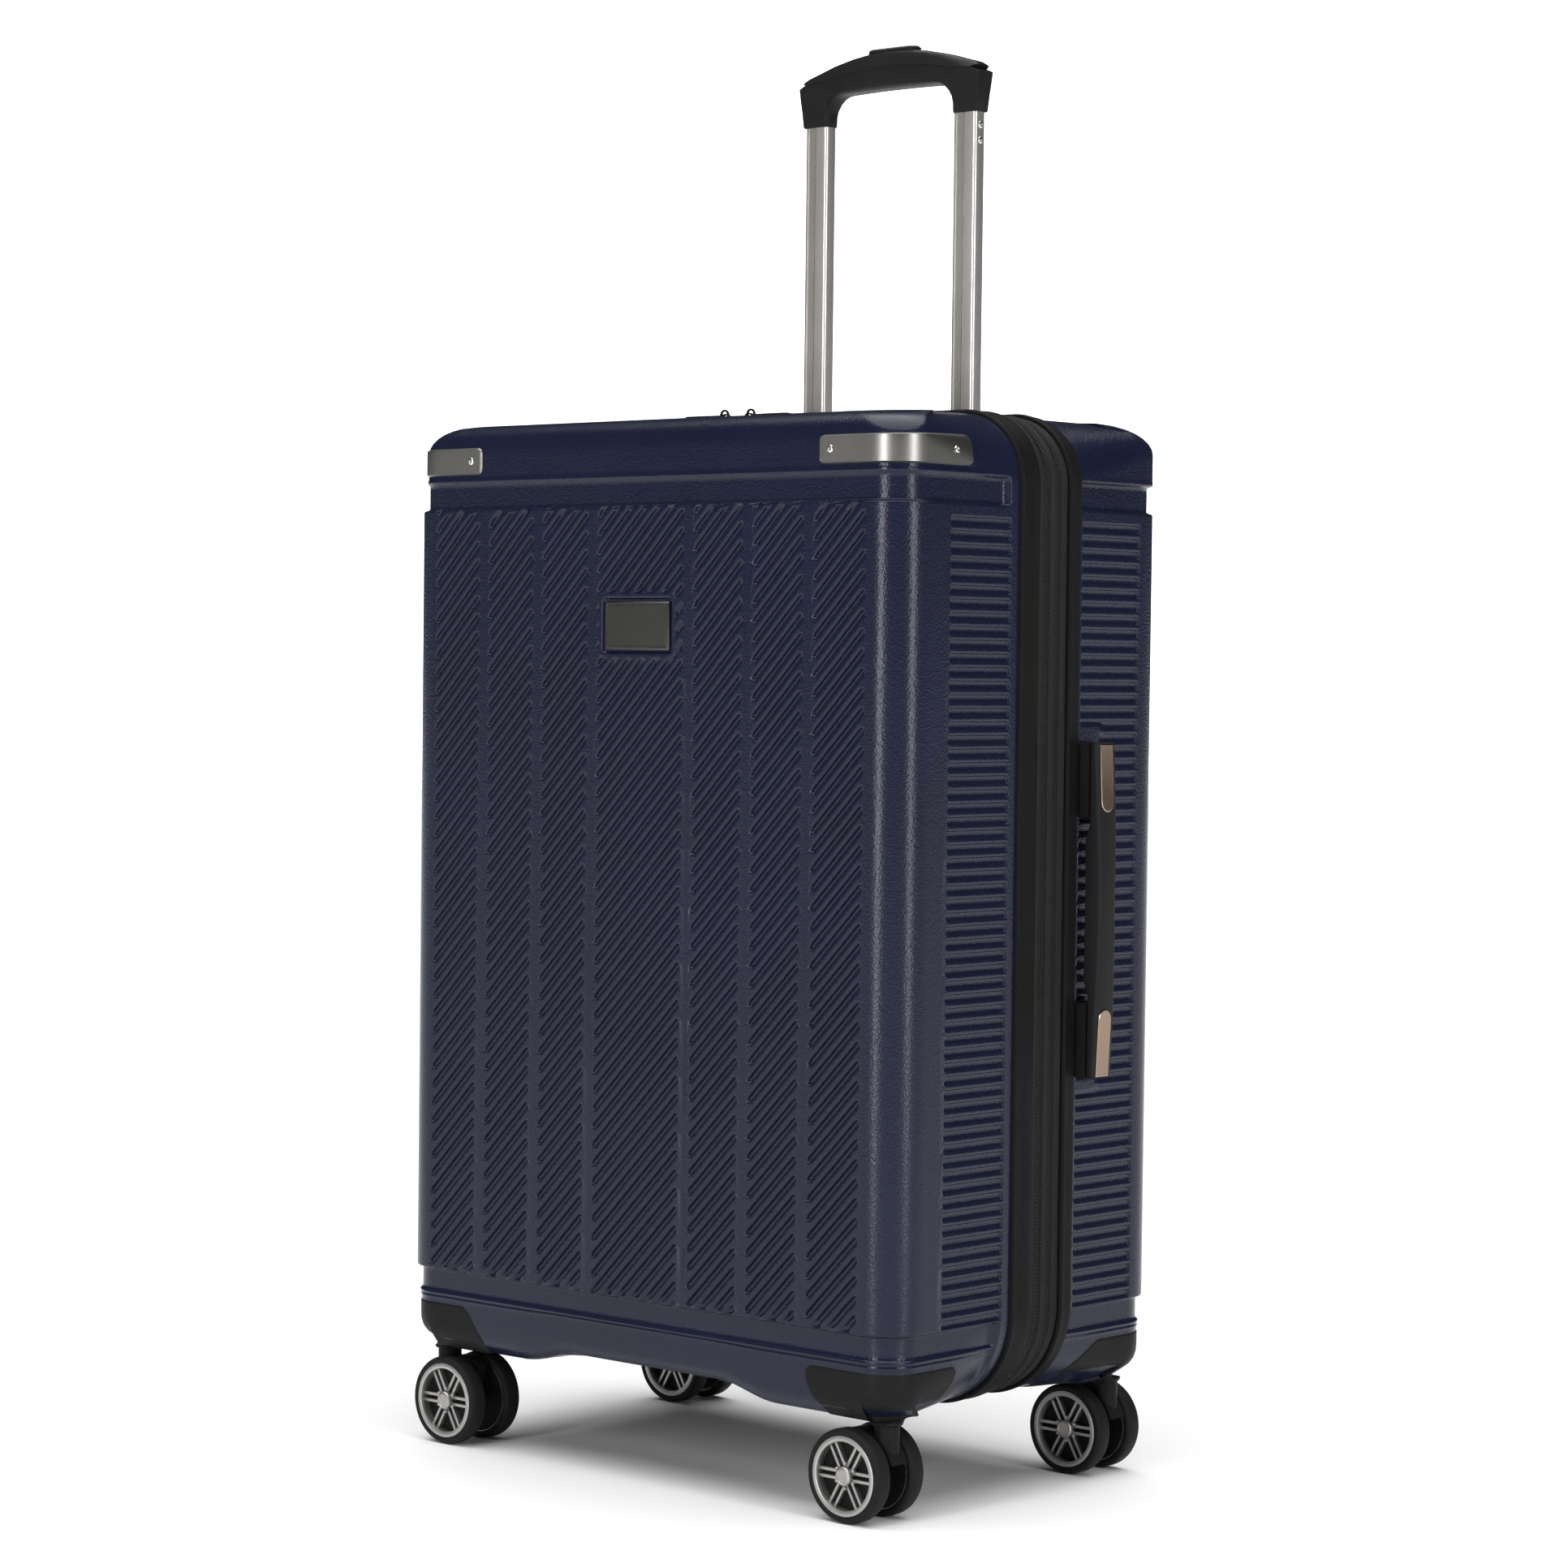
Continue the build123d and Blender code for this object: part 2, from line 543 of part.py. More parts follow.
def side_handle_inserts():
    return group(insert_solids())


# ---- zip sliders ----
def zip_slider(x, y):
    """A slider on the top run: a body with a bridge for the pull tab's pin."""
    z0 = TOP_Z + ZIP_PROUD + SLIDER_LIFT
    body = block(x - SLIDER_L / 2, x + SLIDER_L / 2, y - SLIDER_W / 2, y + SLIDER_W / 2, z0, z0 + SLIDER_H)
    body = fillet(body.edges().filter_by(Axis.Z), SLIDER_R)
    for side in (-1, 1):
        cheek = Pos(x, y + side * BRIDGE_Y, z0 + SLIDER_H + BRIDGE_H / 2) * Box(BRIDGE_L, BRIDGE_T, BRIDGE_H)
        body += cheek
    pin = Pos(x, y, z0 + SLIDER_H + BRIDGE_H / 2) * Rot(90, 0, 0) * Cylinder(TAB_PIN_R, TAB_PIN_L)
    return body + pin


def pull_tab(x, y, way):
    """A ring on the slider's pin and a flat pull that lies along the zip towards way."""
    z0 = TOP_Z + ZIP_PROUD + SLIDER_LIFT + SLIDER_H + BRIDGE_H / 2
    eye_hole = Cylinder(TAB_PIN_R + PIN_CLEAR, NECK_W + 1)
    eye = Pos(x, y, z0) * Rot(90, 0, 0) * (Cylinder(TAB_EYE_R, NECK_W) - eye_hole)
    half = TAB_T / 2
    neck = block(x + TAB_EYE_R - 0.5, x + NECK_L, y - NECK_W / 2, y + NECK_W / 2, z0 - half, z0 + half)
    pull = block(x + NECK_L - 2, x + TAB_L, y - TAB_W / 2, y + TAB_W / 2, z0 - half, z0 + half)
    pull = fillet(pull.edges().filter_by(Axis.Z), TAB_R)
    tab = eye + neck + pull
    if way < 0:
        tab = Pos(2 * x, 0, 0) * mirror_x(tab)
    return tab


def expander_slider():
    """The flat slider of the expander zip, parked on the hinge side with its pull hanging down."""
    x0 = -HALF_WIDTH - ZIP_PROUD - 0.2
    y = EXPANDER_ZIP_Y
    low, high = EXPANDER_SLIDER_Z
    body = block(x0 - EXPANDER_SLIDER_T, x0, y - SLIDER_W / 2, y + SLIDER_W / 2, low, high)
    body = fillet(body.edges().filter_by(Axis.X), SLIDER_R)
    pull = block(x0 - EXPANDER_SLIDER_T + 0.5, x0 - 0.2, y - EXPANDER_PULL_W / 2, y + EXPANDER_PULL_W / 2,
                 EXPANDER_PULL_Z, low)
    return body + pull


def hinge_strip():
    """The fabric hinge inside the wall opposite the side handle."""
    x0 = -HALF_WIDTH + TAPE_DEPTH + 0.3
    return block(x0, x0 + HINGE_STRIP_T, MAIN_ZIP_Y + ZIP_GAP, EXPANDER_ZIP_Y - 1, *HINGE_STRIP_Z)


def expander_gusset():
    """The folded fabric between the expander zip's rows, packed flat."""
    outer = TAPE_DEPTH + GUSSET_INSET
    return ring(MAIN_ZIP_Y + 1.5, EXPANDER_ZIP_Y + 4, outer, outer + GUSSET_T)


def place_caster(shape, side_x, side_y):
    """Put a caster piece at its corner; the wheels trail towards the middle of the case."""
    if side_x > 0:
        shape = mirror_x(shape)
    return Pos(side_x * STEM_X, side_y * STEM_Y, 0) * shape


def nodes():
    """Every piece of the case by its name, in place."""
    zip_front = MAIN_ZIP_Y - ZIP_GAP / 2
    band = (MAIN_ZIP_Y + ZIP_GAP / 2, EXPANDER_ZIP_Y - ZIP_GAP / 2)
    made = {
        "rear_shell": rear_shell(),
        "rear_rim_trim": ring(*REAR_TRIM, -TRIM_PROUD, 0),
        "rear_lining": rear_lining(),
        "rear_zip_tape": ring(EXPANDER_ZIP_Y + ZIP_GAP / 2, REAR_TRIM[0], -ZIP_PROUD, TAPE_DEPTH),
        "packing_straps": packing_straps(),
        "strap_buckle": strap_buckle(),
        "expander_band": ring(*band, -ZIP_PROUD, TAPE_DEPTH),
        "expander_gusset": expander_gusset(),
        "hinge_strip": hinge_strip(),
        "expander_slider": expander_slider(),
        "front_shell": front_shell(),
        "front_rim_trim": ring(*FRONT_TRIM, -TRIM_PROUD, 0),
        "front_lining": front_lining(),
        "main_zip_front_tape": ring(FRONT_TRIM[1], zip_front, -ZIP_PROUD, TAPE_DEPTH),
        "name_plate": name_plate(),
        "corner_guard_right": corner_guard(),
        "corner_guard_left": mirror_x(corner_guard()),
        "guard_rivets": guard_rivets(),
        "trolley_outer_tubes": tube_pair(2, TROLLEY_BASE, TRAY_FLOOR),
        "trolley_middle_tubes": tube_pair(1, TROLLEY_BASE + 1, TRAY_FLOOR + TRAY_WALL + 3),
        "trolley_inner_tubes": tube_pair(0, INNER_BOTTOM, TUBE_TOP),
        "trolley_foot": trolley_foot(),
        "trolley_bezel": trolley_bezel(),
        "trolley_grip": trolley_grip(),
        "trolley_grip_cover": trolley_grip_cover(),
        "trolley_button": trolley_button(),
        "trolley_lock_rods": trolley_lock_rods(),
        "trolley_rivets": trolley_rivets(),
        "side_handle_brackets": side_handle_brackets(),
        "side_handle_grip": side_handle_grip(),
        "side_handle_inserts": side_handle_inserts(),
        "main_slider_left": zip_slider(SLIDER_X[0], MAIN_ZIP_Y),
        "main_slider_right": zip_slider(SLIDER_X[1], MAIN_ZIP_Y),
        "pull_tab_left": pull_tab(SLIDER_X[0], MAIN_ZIP_Y, -1),
        "pull_tab_right": pull_tab(SLIDER_X[1], MAIN_ZIP_Y, 1),
    }
    housing = caster_housing()
    for name, side_x, side_y in (("fl", -1, -1), ("fr", 1, -1), ("rl", -1, 1), ("rr", 1, 1)):
        corner = housing if side_x > 0 else mirror_x(housing)
        made[name + "_housing"] = corner if side_y < 0 else mirror_y(corner)
        body, axle = caster_fork()
        made[name + "_fork"] = group([place_caster(solid, side_x, side_y) for solid in (body, axle)])
        for wheel, side in (("outer", side_y), ("inner", -side_y)):
            made[name + "_" + wheel + "_tyre"] = place_caster(tyre(side), side_x, side_y)
            made[name + "_" + wheel + "_hub"] = place_caster(hub(side), side_x, side_y)
    return made


os.makedirs("parts", exist_ok=True)
for node, shape in nodes().items():
    export_step(Pos(CASE_X, 0, 0) * shape, "parts/" + node + ".step")
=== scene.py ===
import bmesh
import bpy
import json
import math
import random
import numpy as np
from mathutils import Matrix, Vector


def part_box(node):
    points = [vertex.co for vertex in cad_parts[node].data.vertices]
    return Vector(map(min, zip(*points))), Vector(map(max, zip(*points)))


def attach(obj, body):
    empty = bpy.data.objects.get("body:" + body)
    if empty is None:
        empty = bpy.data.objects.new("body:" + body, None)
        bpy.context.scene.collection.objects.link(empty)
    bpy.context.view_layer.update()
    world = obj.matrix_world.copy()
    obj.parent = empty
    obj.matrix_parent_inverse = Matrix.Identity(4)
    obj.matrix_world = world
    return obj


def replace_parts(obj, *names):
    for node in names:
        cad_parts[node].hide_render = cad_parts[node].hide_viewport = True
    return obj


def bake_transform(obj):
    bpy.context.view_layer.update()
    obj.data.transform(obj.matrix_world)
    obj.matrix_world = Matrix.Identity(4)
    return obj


# Hard shell suitcase. Lengths are millimetres here and become metres in mesh_object().
# X runs across the width, Y from the front panel to the trolley side, Z up from the floor.

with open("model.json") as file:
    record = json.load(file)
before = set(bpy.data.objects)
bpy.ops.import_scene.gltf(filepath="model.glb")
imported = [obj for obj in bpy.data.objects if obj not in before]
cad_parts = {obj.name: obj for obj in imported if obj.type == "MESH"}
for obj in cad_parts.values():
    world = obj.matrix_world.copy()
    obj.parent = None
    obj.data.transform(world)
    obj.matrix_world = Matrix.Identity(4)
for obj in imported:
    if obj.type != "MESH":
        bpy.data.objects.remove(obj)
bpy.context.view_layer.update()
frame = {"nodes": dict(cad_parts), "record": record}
MM = 0.001


def node_box(name):
    """Lowest and highest corner of a CAD node in millimetres."""
    low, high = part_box(name)
    return np.array(low) / MM, np.array(high) / MM


def node_middle(name):
    """Middle and half size of a CAD node in millimetres."""
    low, high = node_box(name)
    return (low + high) / 2, (high - low) / 2


# ---- sizes read from the frame ----
SHELL_LOW, SHELL_HIGH = node_box("front_shell")
CENTRE_X = (SHELL_LOW[0] + SHELL_HIGH[0]) / 2
HALF_WIDTH = (SHELL_HIGH[0] - SHELL_LOW[0]) / 2
HALF_DEPTH = -SHELL_LOW[1]
MOUTH_FRONT = SHELL_HIGH[1]
MOUTH_REAR = node_box("rear_shell")[0][1]
PLATE_LOW, PLATE_HIGH = node_box("name_plate")

# ---- form of the case ----
TOP_Z, BOTTOM_Z = 689.0, 60.0
MIDDLE_Z = (TOP_Z + BOTTOM_Z) / 2
PLAN_R = 27.0
TOP_R, BOTTOM_R, EDGE_R = 46.0, 62.0, 18.0
PANEL_TOP_R, PANEL_BOTTOM_R = 20.0, 24.0
END_DRAFT = 4.5
ARCH_HALF, ARCH_RAMP, ARCH_RISE = 65.0, 48.0, 9.0
WALL = 2.4

# ---- moulded relief, as depths below the raised panel ----
PANEL_Z = (118.0, 629.0)
BAND_LOW_Z, BAND_HIGH_Z = 102.0, 646.0
BAND_DEPTH = 3.9
HEM_DEPTH_FRONT, HEM_DEPTH_REAR, FOOT_DEPTH = 2.9, 0.2, 3.2
COLUMNS = ((-38.6, 38.6), (46.8, 89.4), (97.5, 140.1), (148.3, 190.9))
GROOVE_PITCH = 12.0
GROOVE_DEPTH = 2.3
GROOVE_FLAT, GROOVE_HALF = 0.9, 2.35
RIB_PITCH = 8.4
RIB_DEPTH = 1.35
POCKETS_FRONT, POCKETS_REAR = (28.5, 88.0), (42.7, 103.6)
BAND_END = 29.3
HANDLE_PADS = (((52.0, 487.0), (10.5, 6.0)), ((52.0, 262.0), (10.5, 4.5)))


# ======================================================================= meshes
def add_object(name, data):
    """A new object in the scene."""
    thing = bpy.data.objects.new(name, data)
    bpy.context.scene.collection.objects.link(thing)
    return thing


def mesh_object(name, points, faces, material):
    """A smooth mesh object from points in millimetres."""
    mesh = bpy.data.meshes.new(name)
    mesh.from_pydata([tuple(float(c) * MM for c in p) for p in points], [], faces)
    mesh.validate()
    mesh.polygons.foreach_set("use_smooth", [True] * len(mesh.polygons))
    mesh.materials.append(material)
    return add_object(name, mesh)


def smoothstep(low, high, value):
    """0 below low, 1 above high and a soft rise between."""
    t = np.clip((value - low) / (high - low), 0.0, 1.0)
    return t * t * (3 - 2 * t)


def zip_lines(a, b, faces):
    """Triangles between two point runs, each a list of (key, index) with rising keys."""
    i = j = 0
    while i < len(a) - 1 or j < len(b) - 1:
        if j == len(b) - 1 or (i < len(a) - 1 and a[i + 1][0] <= b[j + 1][0]):
            faces.append((a[i][1], b[j][1], a[i + 1][1]))
            i += 1
        else:
            faces.append((a[i][1], b[j][1], b[j + 1][1]))
            j += 1


def shade_by_angle(thing, degrees=35):
    """Keeps edges sharper than the angle crisp."""
    thing.data.set_sharp_from_angle(angle=math.radians(degrees))
    return thing


# ======================================================================= materials
class Graph:
    """Small helper that adds and links shader nodes of one material."""

    def __init__(self, name, base, roughness, metallic=0.0, specular=0.5):
        self.material = bpy.data.materials.new(name)
        self.material.use_nodes = True
        self.tree = self.material.node_tree
        self.shader = self.tree.nodes["Principled BSDF"]
        self.shader.inputs["Base Color"].default_value = (*base, 1.0)
        self.shader.inputs["Roughness"].default_value = roughness
        self.shader.inputs["Metallic"].default_value = metallic
        self.shader.inputs["Specular IOR Level"].default_value = specular
        self.base = base
        self.place = self.tree.nodes.new("ShaderNodeTexCoord").outputs["Object"]

    def add(self, kind, **values):
        """A node with its sockets linked or set, and other names set as properties."""
        node = self.tree.nodes.new(kind)
        for key, value in values.items():
            if isinstance(value, bpy.types.NodeSocket):
                self.tree.links.new(value, node.inputs[key])
            elif key in node.inputs:
                node.inputs[key].default_value = value
            else:
                setattr(node, key, value)
        return node

    def noise(self, scale, detail=2.0, stretch=(1, 1, 1)):
        """Noise in the object's own metres, squeezed along each axis by stretch."""
        spread = self.add("ShaderNodeMapping", Vector=self.place, Scale=stretch)
        cloud = self.add("ShaderNodeTexNoise", Vector=spread.outputs[0], Scale=scale, Detail=detail)
        return cloud.outputs["Fac"]

    def tint(self, fac, low, high):
        """Colour that wanders between two multiples of the base colour."""
        ramp = self.add("ShaderNodeValToRGB", Fac=fac)
        ramp.color_ramp.elements[0].position = 0.3
        ramp.color_ramp.elements[1].position = 0.7
        ramp.color_ramp.elements[0].color = (*[c * low for c in self.base], 1)
        ramp.color_ramp.elements[1].color = (*[c * high for c in self.base], 1)
        self.tree.links.new(ramp.outputs[0], self.shader.inputs["Base Color"])

    def gloss(self, fac, low, high):
        """Roughness that wanders between two values."""
        span = self.add("ShaderNodeMapRange", Value=fac)
        span.inputs["To Min"].default_value = low
        span.inputs["To Max"].default_value = high
        self.tree.links.new(span.outputs[0], self.shader.inputs["Roughness"])

    def bump(self, height, distance, strength, under=None):
        """Surface grain, on top of another bump where one is given."""
        node = self.add("ShaderNodeBump", Height=height, Distance=distance, Strength=strength)
        if under is not None:
            self.tree.links.new(under, node.inputs["Normal"])
        self.tree.links.new(node.outputs[0], self.shader.inputs["Normal"])
        return node.outputs[0]


def navy_shell():
    """Semi-gloss moulded polycarbonate with a pebble grain."""
    g = Graph("navy_shell", (0.0068, 0.0088, 0.0238), 0.22, specular=0.25)
    pebble = g.add("ShaderNodeTexVoronoi", Vector=g.place, Scale=850.0, feature="SMOOTH_F1")
    broad = g.noise(240.0, 3.0)
    g.tint(g.noise(9.0, 3.0), 0.93, 1.08)
    g.gloss(g.noise(30.0, 3.0), 0.19, 0.25)
    soft = g.bump(broad, 0.0002, 0.35)
    g.bump(pebble.outputs["Distance"], 0.0004, 0.33, under=soft)
    return g.material


def black_plastic(name, shade, rough):
    """Black plastic or rubber with a faint mottle and a fine grain."""
    g = Graph(name, (shade, shade, shade * 1.02), rough, specular=0.07)
    g.tint(g.noise(14.0, 3.0), 0.9, 1.12)
    g.gloss(g.noise(45.0, 4.0), rough - 0.04, rough + 0.06)
    g.bump(g.noise(2600.0, 2.0), 0.00006, 0.5)
    return g.material


def brushed_metal(name, colour, rough, stretch, metallic=1.0):
    """Satin metal with fine brushing along one direction."""
    g = Graph(name, colour, rough, metallic=metallic)
    grain = g.noise(1800.0, 3.0, stretch)
    g.tint(g.noise(25.0, 3.0), 0.94, 1.06)
    g.gloss(grain, rough - 0.05, rough + 0.06)
    g.bump(grain, 0.00003, 0.35)
    return g.material


def woven(name, shade, pitch_mm=0.9):
    """Plain weave of tape, webbing or lining cloth."""
    g = Graph(name, shade, 0.8, specular=0.25)
    scale = 1000.0 / pitch_mm
    waves = [g.add("ShaderNodeTexWave", Vector=g.place, Scale=scale / 20.0, bands_direction=axis,
                   Distortion=0.4) for axis in ("Y", "Z")]
    cross = g.add("ShaderNodeMath", operation="MULTIPLY")
    for socket, wave in zip(cross.inputs, waves):
        g.tree.links.new(wave.outputs["Fac"], socket)
    g.tint(g.noise(60.0, 3.0), 0.85, 1.15)
    g.bump(cross.outputs[0], 0.0002, 0.7)
    return g.material


NAVY = navy_shell()
TRIM = black_plastic("trim_rubber", 0.006, 0.5)
PLASTIC = black_plastic("black_plastic", 0.010, 0.42)
GRIP = black_plastic("grip_plastic", 0.013, 0.38)
COVER = black_plastic("grip_cover_gloss", 0.016, 0.2)
TYRE = black_plastic("tyre_rubber", 0.012, 0.5)
COIL = black_plastic("zip_coil", 0.012, 0.26)
GUNMETAL = brushed_metal("gunmetal", (0.24, 0.235, 0.222), 0.34, (1, 1, 6))
PLATE_METAL = brushed_metal("plate_metal", (0.085, 0.083, 0.08), 0.32, (6, 1, 1))
ALUMINIUM = brushed_metal("champagne_aluminium", (0.62, 0.60, 0.565), 0.36, (8, 8, 1))
STEEL = brushed_metal("polished_steel", (0.62, 0.61, 0.58), 0.2, (1, 1, 1))
BRONZE = brushed_metal("bronze", (0.30, 0.225, 0.17), 0.22, (4, 4, 1))
SILVER = brushed_metal("hub_silver", (0.38, 0.37, 0.355), 0.38, (1, 1, 1), metallic=0.85)
TAPE = woven("zip_tape", (0.009, 0.009, 0.010))
LINING = woven("lining_cloth", (0.030, 0.031, 0.034), 1.4)


# ======================================================================= moulded shells
def rounded(half_a, half_b, radius, steps=4):
    """Points of a rectangle with rounded corners about the origin."""
    out = []
    for sa, sb, start in ((1, -1, -90), (1, 1, 0), (-1, 1, 90), (-1, -1, 180)):
        for k in range(steps + 1):
            a = math.radians(start + 90 * k / steps)
            out.append((sa * (half_a - radius) + radius * math.cos(a),
                        sb * (half_b - radius) + radius * math.sin(a)))
    return out


def side_radius(panel_r, mouth_r, y_out):
    """Corner radius seen from the front, which opens out from the panel to the mouth."""
    away = float(np.clip((HALF_DEPTH - PLAN_R - y_out) / (HALF_DEPTH - PLAN_R - MOUTH_REAR), 0.0, 1.0))
    return panel_r + (mouth_r - panel_r) * away


def section(z, y_out=HALF_DEPTH):
    """Half width, half depth, plan corner radius and two fades at a height, before draft and arch.

    A fade is 1 on an upright wall and falls to 0 where the wall has rolled over.
    """
    def inset(radius):
        rise = max(z - (TOP_Z - radius), (BOTTOM_Z + radius) - z, 0.0)
        return radius - math.sqrt(max(radius * radius - rise * rise, 0.0))
    panel_r, mouth_r = (PANEL_TOP_R, TOP_R) if z > MIDDLE_Z else (PANEL_BOTTOM_R, BOTTOM_R)
    side_r = side_radius(panel_r, mouth_r, y_out)
    side, front = inset(side_r), inset(EDGE_R)
    fade_side, fade_front = 1 - side / side_r, 1 - front / EDGE_R
    return HALF_WIDTH - side, HALF_DEPTH - front, PLAN_R + 0.25 * side + 0.5 * front, fade_side, fade_front


def warp(x, y_out, z):
    """Applies the end draft and the raised middle of the underside; y_out grows towards the panel."""
    draft = END_DRAFT * y_out / HALF_DEPTH
    up = smoothstep(0.0, 1.0, (z - BAND_HIGH_Z) / (TOP_Z - BAND_HIGH_Z))
    down = np.clip((BAND_LOW_Z - z) / (BAND_LOW_Z - BOTTOM_Z), 0.0, 1.0)
    arch = ARCH_RISE * (1 - smoothstep(ARCH_HALF, ARCH_HALF + ARCH_RAMP, abs(x)))
    return z - draft * up + draft * down + arch * down


class Station:
    """One upright line of the shell: its place round the plan outline."""

    def __init__(self, kind, value, mouth):
        self.kind, self.value, self.mouth = kind, value, mouth

    def place(self, z):
        """(x, y_out, normal_x, normal_y, fade) at a height; value is x, an angle or y_out."""
        wide, deep, r, fade_side, fade_front = section(z)
        if self.kind == "front":
            flat = HALF_WIDTH - PLAN_R
            return self.value * (wide - r) / flat, deep, 0.0, 1.0, fade_front
        side = math.copysign(1.0, self.value)
        if self.kind == "arc":
            a = abs(self.value)
            nx, ny = side * math.sin(a), math.cos(a)
            fade = fade_front + (fade_side - fade_front) * smoothstep(0.0, math.pi / 2, a)
            return side * (wide - r) + nx * r, deep - r + ny * r, nx, ny, fade
        share = (abs(self.value) - self.mouth) / (HALF_DEPTH - PLAN_R - self.mouth)
        y_out = self.mouth + share * (deep - r - self.mouth)
        wide, _, _, fade_side, _ = section(z, y_out)
        return side * wide, y_out, side, 0.0, fade_side


def groove_depth(x, z, column):
    """Depth of the slanting grooves that fill one column of the panel."""
    left, right = column
    v = np.asarray(z - x)
    v = (v + GROOVE_PITCH / 2) % GROOVE_PITCH - GROOVE_PITCH / 2
    along = np.clip(x + v / 2, left + GROOVE_HALF, right - GROOVE_HALF)
    away = np.hypot(x - along, v - (along - x))
    return GROOVE_DEPTH * (1 - smoothstep(GROOVE_FLAT, GROOVE_HALF, away))


def box_distance(x, z, centre, half, radius):
    """Signed distance to a rectangle with rounded corners, negative inside."""
    dx = np.abs(x - centre[0]) - half[0] + radius
    dz = np.abs(z - centre[1]) - half[1] + radius
    return np.hypot(np.maximum(dx, 0), np.maximum(dz, 0)) + np.minimum(np.maximum(dx, dz), 0) - radius


PLATE_CENTRE = ((PLATE_LOW[0] + PLATE_HIGH[0]) / 2 - CENTRE_X, (PLATE_LOW[2] + PLATE_HIGH[2]) / 2)
PLATE_HALF = ((PLATE_HIGH[0] - PLATE_LOW[0]) / 2, (PLATE_HIGH[2] - PLATE_LOW[2]) / 2)
POCKET_GAP, POCKET_WALL, POCKET_DEPTH, POCKET_BORDER = 1.3, 1.3, 2.0, 5.5
BADGE_REACH = PLATE_HALF[1] + POCKET_GAP + POCKET_BORDER - 1.5
BADGE_ZONE = (PLATE_CENTRE[1] - BADGE_REACH, PLATE_CENTRE[1] + BADGE_REACH)


def badge_depth(x, z, grooves):
    """The plate's pocket and the smooth border round it, which the grooves stop at."""
    away = box_distance(x, z, PLATE_CENTRE, (PLATE_HALF[0] + POCKET_GAP, PLATE_HALF[1] + POCKET_GAP), 1.5)
    kept = grooves * smoothstep(POCKET_BORDER - 1.5, POCKET_BORDER, away)
    return kept + POCKET_DEPTH * (1 - smoothstep(0.0, POCKET_WALL, away))


def level_depth(z, y_out, hem, is_front):
    """Depth of the plain levels: panel, recessed bands, hem above and foot below."""
    roll = 0.9
    band = smoothstep(PANEL_Z[1] - roll, PANEL_Z[1] + roll, z) + 1 - smoothstep(
        PANEL_Z[0] - roll, PANEL_Z[0] + roll, z)
    depth = BAND_DEPTH * band
    top = smoothstep(BAND_HIGH_Z - 0.9, BAND_HIGH_Z + 0.9, z)
    bead = np.exp(-((z - BAND_HIGH_Z - 1.9) / 1.3) ** 2)
    depth = depth * (1 - top) + hem * top - 0.7 * bead * np.minimum(hem, 1.0)
    low = 1 - smoothstep(BAND_LOW_Z - 1.0, BAND_LOW_Z + 1.0, z)
    depth = depth * (1 - low) + FOOT_DEPTH * low
    depth -= 1.5 * np.exp(-((z - BAND_LOW_Z) / 1.25) ** 2)
    depth -= 0.8 * np.exp(-((z - BAND_LOW_Z + 3.6) / 1.0) ** 2)
    slope = np.clip((y_out - BAND_END) / 5.0, 0.0, 1.0)
    return depth * slope if not is_front else depth


def rib_depth(y_out, z, pockets, pads):
    """Rounded pockets stacked up the side walls, leaving thin ribs between them."""
    turn = (z - PANEL_Z[0]) / RIB_PITCH
    centre = PANEL_Z[0] + (np.floor(turn) + 0.5) * RIB_PITCH
    half = (RIB_PITCH - 2.3) / 2
    middle = (pockets[0] + pockets[1]) / 2
    reach = (pockets[1] - pockets[0]) / 2
    away = box_distance(y_out, z, (middle, centre), (reach, half), 1.6)
    depth = RIB_DEPTH * (1 - smoothstep(-1.15, 0.0, away))
    inside = (centre > PANEL_Z[0] + 4) & (centre < PANEL_Z[1] - 4)
    depth = depth * inside
    for pad in pads:
        depth = depth * smoothstep(0.0, 1.0, box_distance(y_out, z, pad[0], pad[1], 1.0))
    return depth


def spread(low, high, near, step):
    """Values from low to high, packed as near says at both ends and step apart between."""
    count = max(int((high - low - 2 * near[-1]) / step), 1)
    inner = list(np.linspace(low + near[-1], high - near[-1], count + 1))
    return [low + n for n in near[:-1]] + inner + [high - n for n in reversed(near[:-1])]


PLATE_EDGES = (0.6, 1.3, 1.75, 2.2, 2.7)
GROOVE_ENDS = (0.0, 0.5, 1.0, 1.6, 2.3, 3.2, 4.6)
POCKET_ENDS = (0.0, 0.4, 0.8, 1.2, 2.0, 3.2)


